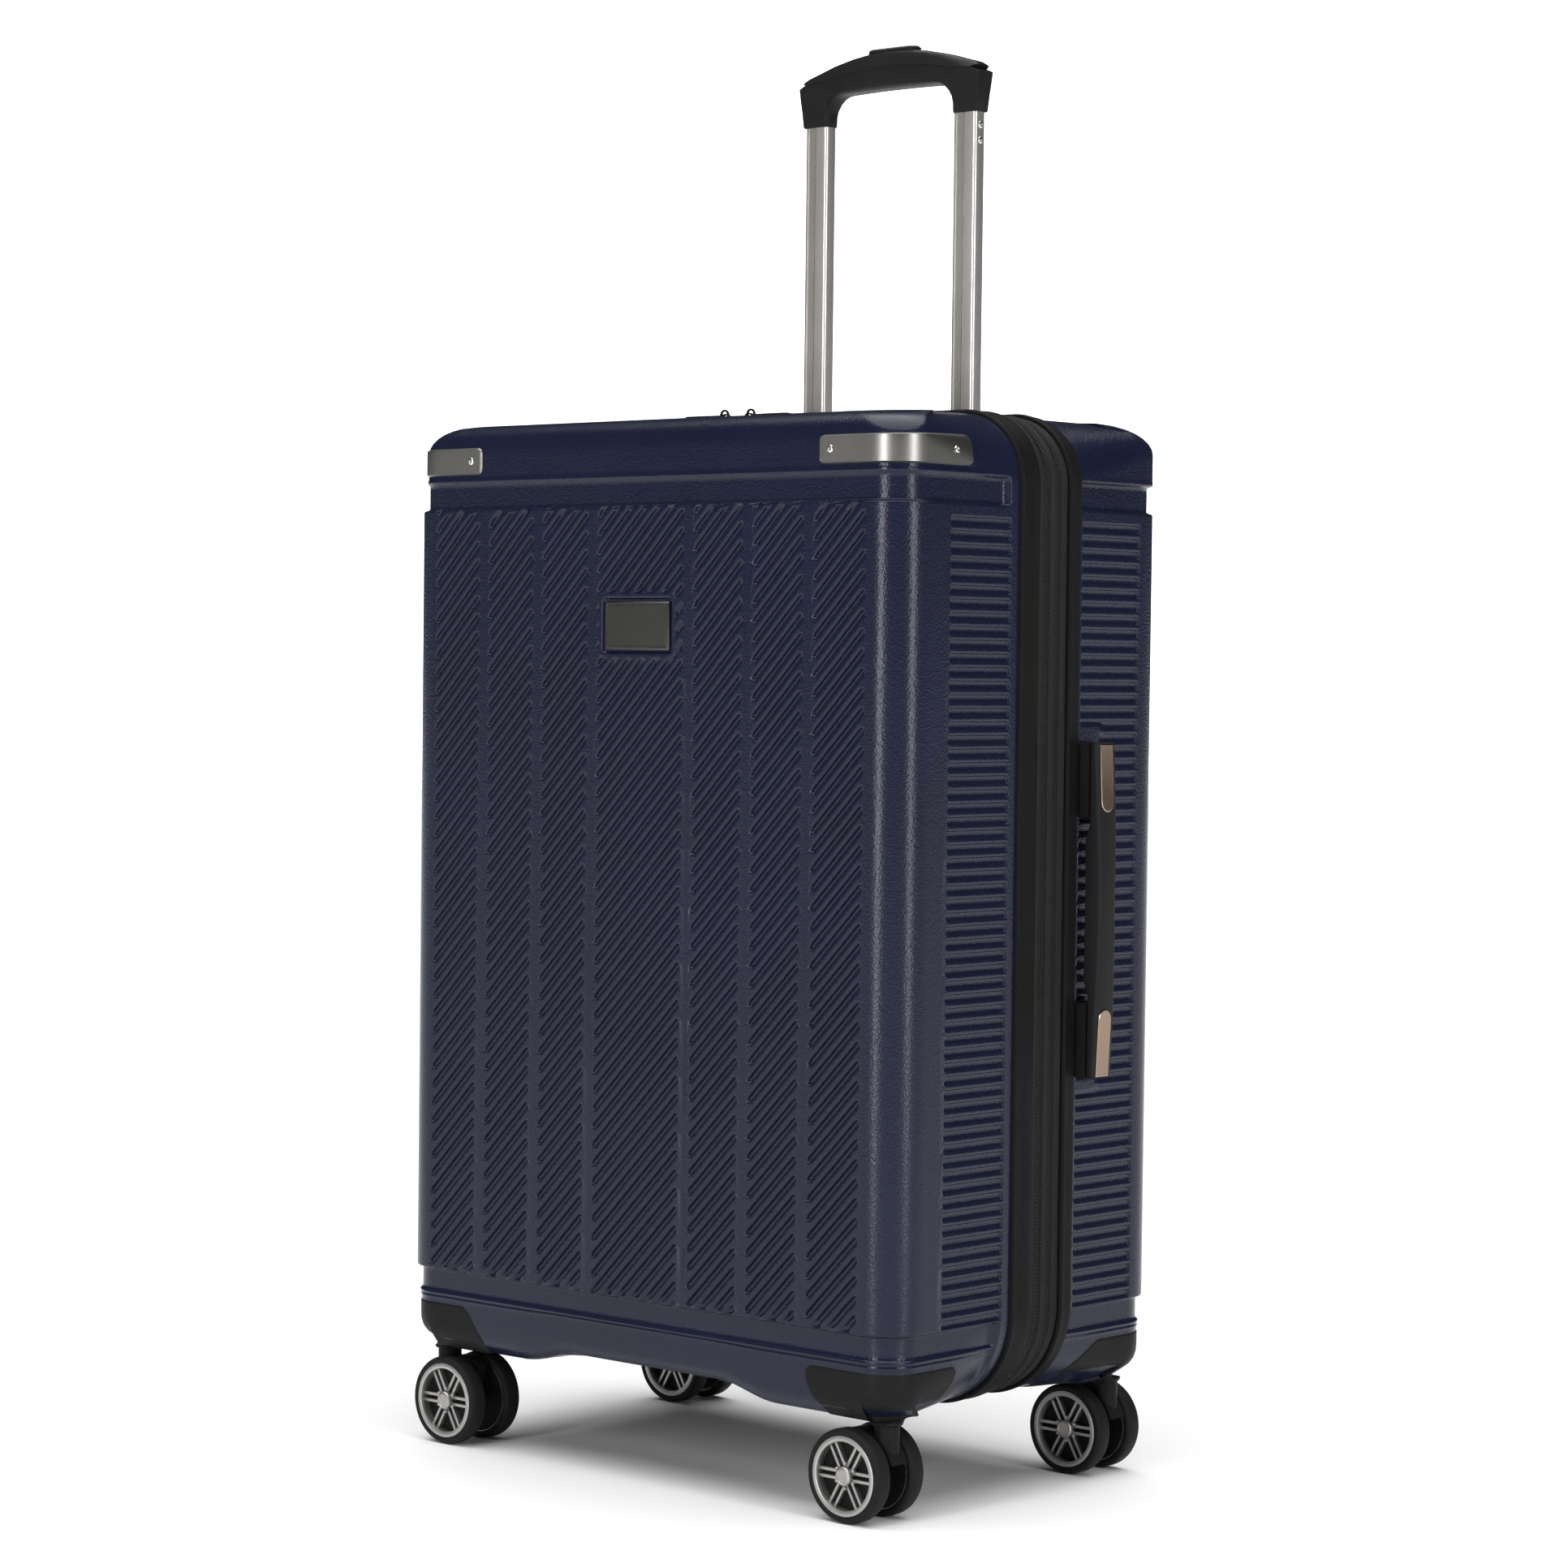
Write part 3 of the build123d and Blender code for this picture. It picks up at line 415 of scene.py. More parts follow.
def stations(mouth, pockets):
    """Upright lines from the left edge of the mouth round the front to the right edge."""
    half = []
    inner_edge = max(pockets[0], mouth + 1.0)
    sides = [mouth]
    if inner_edge - mouth > 4:
        sides += list(np.linspace(mouth, inner_edge, 6))[1:-1]
    sides += spread(inner_edge, pockets[1], POCKET_ENDS, 7.0)
    if mouth < BAND_END:
        sides += [BAND_END + n for n in (-1.0, 0.0, 2.0, 3.5, 5.0)]
    sides += list(np.linspace(pockets[1], HALF_DEPTH - PLAN_R, 5))[1:]
    side_ys = sorted(set(round(y, 3) for y in sides))
    angles = list(np.linspace(math.pi / 2, 0.0, 16))[1:-1]
    for side in (-1, 1):
        run = [("side", side * y) for y in side_ys]
        run += [("arc", side * a) for a in angles]
        half.append(run)
    fronts = []
    for number, (left, right) in enumerate(COLUMNS):
        xs = spread(left, right, GROOVE_ENDS, 3.0 if number == 0 else 4.5)
        if number == 0:
            edges = [PLATE_CENTRE[0] + s * (PLATE_HALF[0] + n) for s in (-1, 1) for n in PLATE_EDGES]
            edges += list(np.arange(PLATE_CENTRE[0] + PLATE_HALF[0] + 4.0, right - 3.0, 0.8))
            xs = sorted(set(round(x, 3) for x in xs + edges))
        signs = (1,) if number == 0 else (-1, 1)
        fronts += [(s * x, (number, s)) for s in signs for x in xs]
    outer = HALF_WIDTH - PLAN_R
    gaps = [(a[1] + b[0]) / 2 for a, b in zip(COLUMNS, COLUMNS[1:])] + [outer]
    fronts += [(s * x, None) for s in (-1, 1) for x in gaps]
    fronts.sort(key=lambda item: item[0])
    left = [Station(kind, value, mouth) for kind, value in half[0]]
    right = [Station(kind, value, mouth) for kind, value in reversed(half[1])]
    middle = []
    for x, column in fronts:
        station = Station("front", x, mouth)
        station.column = column
        middle.append(station)
    return left + middle + right


LOW_ZS = [60, 60.25, 61, 62.4, 64.5, 67.5, 71.5, 76, 82, 88, 93, 96, 97.2, 98, 98.8, 99.6, 100.4, 101.2, 102,
          102.8, 103.6, 104.6, 106, 110, 114, 116, 116.7, 117.4, 118, 118.6, 119.3, 120.2]
HIGH_ZS = [627, 627.7, 628.4, 629, 629.6, 630.3, 631.2, 633, 638, 643, 645, 645.7, 646.3, 646.9, 647.6, 648.4,
           649.4, 650.6, 652, 656, 660, 665, 670, 674, 678, 681.5, 684.4, 686.7, 688.2, 689]


def zone_samples(kind, low, high, x):
    """Heights between two levels for one line."""
    if kind == "groove":
        near = (-3.35, -2.85, -2.3, -1.7, -1.1, 0.0, 1.1, 1.7, 2.3, 2.85, 3.35, 6.0)
        first = math.floor((low - x) / GROOVE_PITCH) - 1
        last = math.ceil((high - x) / GROOVE_PITCH) + 1
        zs = [x + n * GROOVE_PITCH + d for n in range(first, last + 1) for d in near]
    elif kind == "rib":
        near = (0.0, 1.15, 1.55, 1.95, 2.3, 4.2, 6.1, 6.45, 6.85, 7.25)
        count = int((high - low) / RIB_PITCH) + 2
        zs = [PANEL_Z[0] + n * RIB_PITCH + d for n in range(count) for d in near]
    elif kind == "badge":
        zs = list(np.arange(low, high, 1.0))
        edges = [PLATE_CENTRE[1] + s * (PLATE_HALF[1] + n) for s in (-1, 1) for n in PLATE_EDGES]
        zs = sorted(set(round(z, 3) for z in zs + edges))
    else:
        zs = list(np.linspace(low, high, 15))[1:-1]
    return [z for z in zs if low + 0.15 < z < high - 0.15]


def half_shell(name, mouth, facing, pockets, hem, pads):
    """One moulded half of the case: outer relief, plain inside and the edge between them."""
    points, faces = [], []
    is_front = facing < 0

    def add(x, y_out, z):
        points.append((x, y_out, z))
        return len(points) - 1

    def depth_at(station, z, y_out):
        """Depth of the relief at many heights of one line."""
        on_side = station.kind == "side"
        mine = hem * smoothstep(30.0, 60.0, y_out) if on_side else hem
        depth = level_depth(z, y_out, mine, not on_side)
        column = getattr(station, "column", None)
        if column is not None:
            number, s = column
            left, right = COLUMNS[number]
            slot = groove_depth(station.value, z, (left, right) if s > 0 else (-right, -left))
            if number == 0 and is_front:
                slot = badge_depth(station.value, z, slot)
            inside = smoothstep(PANEL_Z[0] - 4, PANEL_Z[0] - 2, z) * (1 - smoothstep(
                PANEL_Z[1] + 2, PANEL_Z[1] + 4, z))
            return np.maximum(depth, slot * inside)
        if on_side and pockets[0] - 0.1 <= abs(station.value) <= pockets[1] + 0.1:
            return depth + rib_depth(y_out, z, pockets, pads if station.value * facing < 0 else ())
        return depth

    def zones(station):
        """What the relief of a line is between the lowest and the highest band."""
        low, high = LOW_ZS[-1], HIGH_ZS[0]
        column = getattr(station, "column", None)
        if column is not None and column[0] == 0 and is_front:
            return [("groove", low, BADGE_ZONE[0]), ("badge", *BADGE_ZONE), ("groove", BADGE_ZONE[1], high)]
        if column is not None:
            return [("groove", low, high)]
        if station.kind == "side" and pockets[0] <= abs(station.value) <= pockets[1]:
            return [("rib", low, high)]
        return [("plain", low, high)]

    def line(station, inset=0.0, relief=True):
        """Builds one upright line and returns its runs of (z, v, index)."""
        runs = [list(LOW_ZS)]
        spans = zones(station) if relief else [("plain", LOW_ZS[-1], HIGH_ZS[0])]
        for kind, low, high in spans:
            runs.append([low] + zone_samples(kind, low, high, station.value) + [high])
        runs.append(list(HIGH_ZS))
        heights = sorted(set(z for run in runs for z in run))
        places = np.array([station.place(z) for z in heights])
        x, y_out, nx, ny, fade = places.T
        z = np.array(heights, float)
        if relief:
            deep = depth_at(station, z, y_out) * fade
        else:
            deep = level_depth(z, y_out, hem, station.kind != "side") * fade + inset
        x, y_out = x - nx * deep, y_out - ny * deep
        first = len(points)
        points.extend(zip(x, y_out, z))
        number = {height: first + i for i, height in enumerate(heights)}
        made = [[(height, height - station.value, number[height]) for height in run] for run in runs]
        return [kind for kind, _, _ in spans], made

    def skin(lines):
        """Triangles between neighbouring lines, zone by zone where their zones match."""
        triangles = []
        for (kinds_a, a), (kinds_b, b) in zip(lines, lines[1:]):
            if kinds_a == kinds_b:
                for number, (run_a, run_b) in enumerate(zip(a, b)):
                    middle = 0 < number < len(a) - 1
                    key = 1 if middle and kinds_a[number - 1] == "groove" else 0
                    zip_lines([(p[key], p[2]) for p in run_a], [(p[key], p[2]) for p in run_b], triangles)
            else:
                whole_a = [p for run in a for p in run]
                whole_b = [p for run in b for p in run]
                for whole in (whole_a, whole_b):
                    for i in range(len(whole) - 1, 0, -1):
                        if whole[i][2] == whole[i - 1][2]:
                            del whole[i]
                zip_lines([(p[0], p[2]) for p in whole_a], [(p[0], p[2]) for p in whole_b], triangles)
        return triangles

    def cap(ring, triangles, top):
        """Closes the top or the underside by shrinking the outline towards the mouth."""
        flat = TOP_Z - cap_inset if top else BOTTOM_Z + cap_inset
        loops = [ring]
        for share in (0.97, 0.85, 0.62, 0.35):
            loop = []
            for index in ring:
                x, y_out, _ = points[index]
                loop.append(add(x * share, mouth + (y_out - mouth) * share, flat))
            loops.append(loop)
        for outer, inner in zip(loops, loops[1:]):
            for i in range(len(ring) - 1):
                quad = (outer[i], outer[i + 1], inner[i + 1], inner[i])
                triangles.append(quad if top else quad[::-1])
        centre = add(0.0, mouth, flat)
        for i in range(len(ring) - 1):
            tri = (loops[-1][i], loops[-1][i + 1], centre)
            triangles.append(tri if top else tri[::-1])
        first = [loop[0] for loop in loops[1:]] + [centre]
        return first, [loop[-1] for loop in loops[1:]][::-1]

    def surface(lines):
        """A closed skin and its edge loop round the mouth."""
        triangles = skin(lines)
        bottom = [runs[0][0][2] for _, runs in lines]
        top = [runs[-1][-1][2] for _, runs in lines]
        top_a, top_b = cap(top, triangles, True)
        low_a, low_b = cap(bottom, triangles, False)

        def upright(runs):
            out = []
            for run in runs:
                for p in run:
                    if not out or out[-1] != p[2]:
                        out.append(p[2])
            return out
        left, right = upright(lines[0][1]), upright(lines[-1][1])
        edge = low_a[::-1] + left + top_a + top_b + right[::-1] + low_b[::-1]
        return triangles, edge

    cap_inset = 0.0
    outer_lines = [line(s) for s in stations(mouth, pockets)]
    outside, outer_edge = surface(outer_lines)
    plain = [Station("side", -y, mouth) for y in np.linspace(mouth, HALF_DEPTH - PLAN_R, 7)]
    plain += [Station("arc", -a, mouth) for a in np.linspace(math.pi / 2, 0.0, 9)[1:-1]]
    plain += [Station("front", x, mouth) for x in np.linspace(PLAN_R - HALF_WIDTH, HALF_WIDTH - PLAN_R, 13)]
    plain += [Station("arc", a, mouth) for a in np.linspace(0.0, math.pi / 2, 9)[1:-1]]
    plain += [Station("side", y, mouth) for y in np.linspace(HALF_DEPTH - PLAN_R, mouth, 7)]
    cap_inset = WALL
    inner_lines = [line(s, WALL, relief=False) for s in plain]
    inside, inner_edge = surface(inner_lines)
    faces += outside + [f[::-1] for f in inside]

    def turning(edge):
        """The edge loop keyed by its angle round the middle of the mouth."""
        keyed = []
        for index in edge:
            x, _, z = points[index]
            keyed.append((math.atan2(-x, MIDDLE_Z - z) % (2 * math.pi), index))
        return keyed + [(2 * math.pi + 1e-3, edge[0])]
    rim = []
    zip_lines(turning(outer_edge), turning(inner_edge), rim)
    faces += rim
    placed = [(CENTRE_X - facing * x, facing * y_out, float(warp(x, y_out, z))) for x, y_out, z in points]
    return mesh_object(name, placed, faces, NAVY)


# ======================================================================= rings round the case
OUTLINE_PARTS = (
    ("line", (0.0, BOTTOM_Z), (BOTTOM_R - HALF_WIDTH, BOTTOM_Z)),
    ("arc", (BOTTOM_R - HALF_WIDTH, BOTTOM_Z + BOTTOM_R), BOTTOM_R, -90),
    ("line", (-HALF_WIDTH, BOTTOM_Z + BOTTOM_R), (-HALF_WIDTH, TOP_Z - TOP_R)),
    ("arc", (TOP_R - HALF_WIDTH, TOP_Z - TOP_R), TOP_R, -180),
    ("line", (TOP_R - HALF_WIDTH, TOP_Z), (HALF_WIDTH - TOP_R, TOP_Z)),
    ("arc", (HALF_WIDTH - TOP_R, TOP_Z - TOP_R), TOP_R, 90),
    ("line", (HALF_WIDTH, TOP_Z - TOP_R), (HALF_WIDTH, BOTTOM_Z + BOTTOM_R)),
    ("arc", (HALF_WIDTH - BOTTOM_R, BOTTOM_Z + BOTTOM_R), BOTTOM_R, 0),
    ("line", (HALF_WIDTH - BOTTOM_R, BOTTOM_Z), (0.0, BOTTOM_Z)),
)


def part_length(part):
    """Length of one straight or quarter-round part of the outline."""
    if part[0] == "line":
        return math.dist(part[1], part[2])
    return part[2] * math.pi / 2


OUTLINE_LENGTH = sum(part_length(part) for part in OUTLINE_PARTS)


def outline_at(distance):
    """(x, z, normal_x, normal_z) of the case outline, clockwise from the middle of the underside."""
    distance %= OUTLINE_LENGTH
    for part in OUTLINE_PARTS:
        length = part_length(part)
        if distance <= length:
            break
        distance -= length
    share = min(distance / length, 1.0)
    if part[0] == "line":
        (x0, z0), (x1, z1) = part[1], part[2]
        dx, dz = (x1 - x0) / length, (z1 - z0) / length
        return x0 + (x1 - x0) * share, z0 + (z1 - z0) * share, -dz, dx
    (cx, cz), radius, start = part[1], part[2], math.radians(part[3])
    angle = start - share * math.pi / 2
    nx, nz = math.cos(angle), math.sin(angle)
    return cx + radius * nx, cz + radius * nz, nx, nz


def outline_marks(step):
    """Distances round the outline, closer together in the corners and over the arch."""
    marks, passed = [], 0.0
    for part in OUTLINE_PARTS:
        length = part_length(part)
        fine = part[0] == "arc" or abs(part[1][1] - BOTTOM_Z) < 1 and abs(part[2][1] - BOTTOM_Z) < 1
        count = max(int(length / (4.0 if fine else step)), 1)
        marks += [passed + length * i / count for i in range(count)]
        passed += length
    return marks


def ring_point(distance, y, out):
    """A point out from the case outline at depth y, with the draft and the arch applied."""
    x, z, nx, nz = outline_at(distance)
    x, z = x + nx * out, z + nz * out
    return CENTRE_X + x, y, float(warp(x, abs(y), z))


def ring_piece(name, profile, material, angle=40):
    """A closed (y, out) profile carried round the case."""
    marks = outline_marks(RING_STEP)
    points = [ring_point(mark, y, out) for mark in marks for y, out in profile]
    n, m = len(profile), len(marks)
    faces = [(i * n + j, i * n + (j + 1) % n, (i + 1) % m * n + (j + 1) % n, (i + 1) % m * n + j)
             for i in range(m) for j in range(n)]
    thing = mesh_object(name, points, faces, material)
    return shade_by_angle(thing, angle)


FRONT_TRIM_LOW, FRONT_TRIM_HIGH = node_box("front_rim_trim")
REAR_TRIM_LOW, REAR_TRIM_HIGH = node_box("rear_rim_trim")
TRIM_FOOT = -1.6
RING_STEP = 24.0


def front_trim():
    """A rim with a rolled bead along its front edge and a flat strip behind."""
    a, b = FRONT_TRIM_LOW[1], FRONT_TRIM_HIGH[1]
    profile = [(a, TRIM_FOOT), (a, 0.3), (a + 0.25, 1.3), (a + 0.9, 2.1), (a + 1.8, 2.45), (a + 2.7, 2.1),
               (a + 3.3, 1.5), (a + 3.9, 1.35), (a + 9.0, 1.75), (b - 3.0, 1.7), (b - 1.1, 1.45),
               (b - 0.3, 0.9), (b, 0.1), (b, TRIM_FOOT)]
    return ring_piece("front_rim", profile, TRIM)


def rear_trim():
    """A narrower rim with its bead along the edge that faces the zip."""
    a, b = REAR_TRIM_LOW[1], REAR_TRIM_HIGH[1]
    profile = [(a, TRIM_FOOT), (a, 0.6), (a + 0.3, 1.6), (a + 1.0, 2.3), (a + 1.9, 2.45), (a + 2.9, 2.2),
               (a + 4.2, 1.85), (b - 4.0, 1.9), (b - 1.5, 1.7), (b - 0.5, 1.2), (b, 0.3), (b, TRIM_FOOT)]
    return ring_piece("rear_rim", profile, TRIM)


# ---- zips ----
MAIN_ZIP_Y = node_box("main_zip_front_tape")[1][1] + 0.15
BAND_REAR_Y = node_box("expander_band")[1][1]
TOOTH_PITCH = 2.35
TAPE_OUT = -0.35
TOOTH_SHAPE = ((0.0, 0.25, 0.0), (0.12, 0.42, 0.62), (0.5, 0.46, 0.86), (0.88, 0.42, 0.62), (1.0, 0.25, 0.0))


def tape_ring(name, y0, y1):
    """Zip tape as a thin ring, a little raised inside its edges."""
    face = TAPE_OUT + 0.1
    profile = [(y0, -2.4), (y0, TAPE_OUT), (y0 + 0.5, face), (y1 - 0.5, face), (y1, TAPE_OUT), (y1, -2.4)]
    return ring_piece(name, profile, TAPE)


def coil_row(name, y0, y1, slant, size=1.0, shift=0.0):
    """A row of slanting coil turns round the case."""
    count = int(OUTLINE_LENGTH / (TOOTH_PITCH * size))
    pitch = OUTLINE_LENGTH / count
    points, faces = [], []
    for i in range(count):
        first = len(points)
        for share, half, height in TOOTH_SHAPE:
            along = (i + shift) * pitch + slant * (share - 0.5) * pitch
            y = y0 + (y1 - y0) * share
            for side, lift in ((-1, -0.25), (0, height * size), (1, -0.25)):
                points.append(ring_point(along + side * half * pitch, y, TAPE_OUT + 0.1 + lift))
        for row in range(len(TOOTH_SHAPE) - 1):
            for col in range(2):
                a = first + row * 3 + col
                faces.append((a, a + 3, a + 4, a + 1))
    return mesh_object(name, points, faces, COIL)


def zips():
    """Both zips: each is two coil rows meeting edge to edge on their tapes."""
    front_edge, rear_edge = FRONT_TRIM_HIGH[1], REAR_TRIM_LOW[1]
    expand_y = (BAND_REAR_Y + node_box("rear_zip_tape")[0][1]) / 2
    made = (
        (tape_ring("main_zip_tape_front", front_edge + 0.1, MAIN_ZIP_Y - 0.15), "lid", "main_zip_front_tape"),
        (coil_row("main_zip_coil_front", MAIN_ZIP_Y - 4.0, MAIN_ZIP_Y - 0.1, 1.1), "lid", None),
        (tape_ring("main_zip_tape_rear", MAIN_ZIP_Y + 0.15, expand_y - 0.15), "expander", "expander_band"),
        (coil_row("main_zip_coil_rear", MAIN_ZIP_Y + 0.1, MAIN_ZIP_Y + 4.0, -1.1, 1.0, 0.5), "expander",
         None),
        (coil_row("expander_zip_coil_front", expand_y - 2.9, expand_y - 0.1, 1.1, 0.85), "expander", None),
        (tape_ring("expander_zip_tape_rear", expand_y + 0.15, rear_edge - 0.1), "rear_case", "rear_zip_tape"),
        (coil_row("expander_zip_coil_rear", expand_y + 0.1, expand_y + 2.9, -1.1, 0.85, 0.5), "rear_case",
         None),
    )
    for piece, body, node in made:
        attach(piece, body)
        if node:
            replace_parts(piece, node)


# ---- expander gusset ----
def expander_gusset():
    """Folded fabric ring behind the expander band."""
    low, high = node_box("expander_gusset")
    y0, y1 = low[1] + 0.2, high[1] - 0.2
    folds = 4
    outer = [(y0 + (y1 - y0) * i / (2 * folds), -5.4 - (1.9 if i % 2 else 0.0)) for i in range(2 * folds + 1)]
    inner = [(y, out - 0.6) for y, out in reversed(outer)]
    piece = ring_piece("expander_gusset_cloth", inner + outer, TAPE, angle=70)
    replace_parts(piece, "expander_gusset")
    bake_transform(piece)


# ---- linings ----
LINING_FLOOR = 99.5


def lining(name, mouth, back, facing, body, node):
    """Cloth lining of one half: a soft rounded box, open at the mouth, with shallow wrinkles."""
    marks = outline_marks(14.0)
    corner = 16.0
    loops = [(mouth + (back - corner - mouth) * i / 6, 7.2) for i in range(7)]
    loops += [(back - corner + corner * math.sin(a), 7.2 + corner * (1 - math.cos(a)))
              for a in np.linspace(0, math.pi / 2, 6)[1:]]
    random.seed(5)
    phases = [random.uniform(0, 6.28) for _ in range(6)]
    points, faces, thickness = [], [], 1.0
    mid = (TOP_Z + LINING_FLOOR) / 2

    def puff(x, z):
        """Height of the wrinkles at a place on the cloth."""
        return 0.8 * math.sin(x / 31 + phases[0]) * math.sin(z / 47 + phases[1]) + 0.5 * math.sin(
            (x + z) / 19 + phases[2]) * math.sin((z - x) / 57 + phases[3])

    for layer in (0.0, thickness):
        for y_out, inset in loops:
            for mark in marks:
                x, z, nx, nz = outline_at(mark)
                soft = 0.35 * puff(x, z) if y_out > mouth + 4 else 0.0
                grow = inset + layer + soft
                x, z = x - nx * grow, z - nz * grow
                points.append((x, y_out - layer, max(z, LINING_FLOOR + layer)))
        base = points[-len(marks):]
        for share in (0.9, 0.75, 0.55, 0.35, 0.18):
            for x, y, z in base:
                sx, sz = x * share, mid + (z - mid) * share
                points.append((sx, y + 0.6 * puff(sx, sz), sz))
        points.append((0.0, back - layer, mid))
    count = len(marks)
    rings = len(loops) + 5
    size = rings * count + 1
    for layer in range(2):
        start = layer * size
        for r in range(rings - 1):
            for i in range(count):
                a, b = start + r * count + i, start + r * count + (i + 1) % count
                quad = (a, b, b + count, a + count)
                faces.append(quad if layer == 0 else quad[::-1])
        for i in range(count):
            a = start + (rings - 1) * count + i
            b = start + (rings - 1) * count + (i + 1) % count
            tri = (a, b, start + size - 1)
            faces.append(tri if layer == 0 else tri[::-1])
    for i in range(count):
        faces.append((i, size + i, size + (i + 1) % count, (i + 1) % count))
    placed = [(CENTRE_X + x, facing * y, z) for x, y, z in points]
    if facing < 0:
        faces = [f[::-1] for f in faces]
    piece = mesh_object(name, placed, faces, LINING)
    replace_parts(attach(piece, body), node)


# ---- corner guards ----
GUARD_INNER_X, GUARD_FAR_Y, GUARD_Z = 150.0, 64.7, (652.0, 673.0)
GUARD_PROUD, GUARD_EDGE, GUARD_ROUND = 1.3, 0.9, 4.0


def guard_lines():
    """Stations from the inner end on the front round the corner to the far end on the side."""
    xs = [GUARD_INNER_X + n for n in (0.0, 0.3, 0.9, 1.8, 3.0, 4.0)] + list(
        np.linspace(GUARD_INNER_X + 8, HALF_WIDTH - PLAN_R, 6))
    run = [Station("front", x, 1.0) for x in xs]
    run += [Station("arc", a, 1.0) for a in np.linspace(0, math.pi / 2, 14)[1:]]
    run += [Station("side", y, 1.0) for y in np.linspace(HALF_DEPTH - PLAN_R, GUARD_FAR_Y + 8, 6)[1:]]
    run += [Station("side", GUARD_FAR_Y + n, 1.0) for n in (4.0, 3.0, 1.8, 0.9, 0.3, 0.0)]
    return run


def hem_offset(station, y_out):
    """How far the hem lies behind the plan outline at a station."""
    return float(HEM_DEPTH_FRONT * (smoothstep(30.0, 60.0, y_out) if station.kind == "side" else 1.0))


def corner_guard(name, side, node):
    """Satin metal guard with rolled edges and rounded ends."""
    points, faces, lines = [], [], guard_lines()
    rows = (0.0, 0.05, 0.14, 0.32, 0.5, 0.68, 0.86, 0.95, 1.0)
    for layer_out in (None, -0.6):
        for number, station in enumerate(lines):
            d = min(abs(station.value - GUARD_INNER_X) if station.kind == "front" else 99,
                    abs(station.value - GUARD_FAR_Y) if station.kind == "side" else 99, GUARD_ROUND)
            cut = GUARD_ROUND - math.sqrt(GUARD_ROUND ** 2 - (GUARD_ROUND - d) ** 2)
            low, high = GUARD_Z[0] + cut, GUARD_Z[1] - cut
            for share in rows:
                z = low + (high - low) * share
                x, y_out, nx, ny, fade = station.place(z)
                x = station.value if station.kind == "front" and station.value < 180 else x
                rim = min(share, 1 - share) * (high - low)
                edge = min(rim, d if d < GUARD_ROUND else 99)
                lift = GUARD_PROUD * math.sqrt(max(1 - (1 - min(edge / GUARD_EDGE, 1)) ** 2, 0))
                out = (lift if layer_out is None else layer_out) - hem_offset(station, y_out) * fade
                points.append((side * (x + nx * out), -(y_out + ny * out), float(warp(x, y_out, z))))
    n, m = len(rows), len(lines)
    for layer in range(2):
        for i in range(m - 1):
            for j in range(n - 1):
                a = layer * n * m + i * n + j
                quad = (a, a + n, a + n + 1, a + 1)
                faces.append(quad if layer == 0 else quad[::-1])
    border = [i * n for i in range(m)] + [(m - 1) * n + j for j in range(1, n)]
    border += [i * n + n - 1 for i in range(m - 2, -1, -1)] + [j for j in range(n - 2, 0, -1)]
    for a, b in zip(border, border[1:] + border[:1]):
        faces.append((b, a, n * m + a, n * m + b))
    if side < 0:
        faces = [f[::-1] for f in faces]
    piece = mesh_object(name, [(CENTRE_X + x, y, z) for x, y, z in points], faces, GUNMETAL)
    shade_by_angle(piece, 50)
    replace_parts(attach(piece, "lid"), node)


def turned(name, profile, centre, axis, material, sides=28, angle=35, closed=False):
    """A turned piece: (radius, height) profile about an axis through centre; closed makes a ring."""
    axis = Vector(axis).normalized()
    turn = axis.to_track_quat("Z", "Y")
    points, faces = [], []
    for i in range(sides):
        a = 2 * math.pi * i / sides
        for radius, height in profile:
            spot = turn @ Vector((radius * math.cos(a), radius * math.sin(a), height))
            points.append(Vector(centre) + spot)
    n = len(profile)
    for i in range(sides):
        for j in range(n if closed else n - 1):
            a, b, k = i * n, (i + 1) % sides * n, (j + 1) % n
            faces.append((a + j, b + j, b + k, a + k))
    for j in (0, n - 1):
        if profile[j][0] > 1e-6 and not closed:
            ring = [i * n + j for i in range(sides)]
            faces.append(tuple(ring[::-1] if j == 0 else ring))
    piece = mesh_object(name, points, faces, material)
    merge_close(piece)
    return shade_by_angle(piece, angle)


def merge_close(piece, outwards=False):
    """Merges points that coincide, as on a turned piece's axis, and turns the faces outwards if asked."""
    soft = bmesh.new()
    soft.from_mesh(piece.data)
    bmesh.ops.remove_doubles(soft, verts=soft.verts, dist=1e-6)
    if outwards:
        bmesh.ops.recalc_face_normals(soft, faces=soft.faces)
    soft.to_mesh(piece.data)
    soft.free()


def join(name, parts):
    """Joins mesh objects into one piece."""
    soft = bmesh.new()
    for part in parts:
        soft.from_mesh(part.data)
    material = parts[0].data.materials[0]
    mesh = bpy.data.meshes.new(name)
    soft.to_mesh(mesh)
    soft.free()
    mesh.materials.append(material)
    for part in parts:
        bpy.data.objects.remove(part)
    return add_object(name, mesh)


SCREW = ((2.4, -0.6), (2.4, 0.25), (2.1, 0.6), (1.5, 0.8), (1.1, 0.8), (0.85, 0.25), (0.0, 0.2))


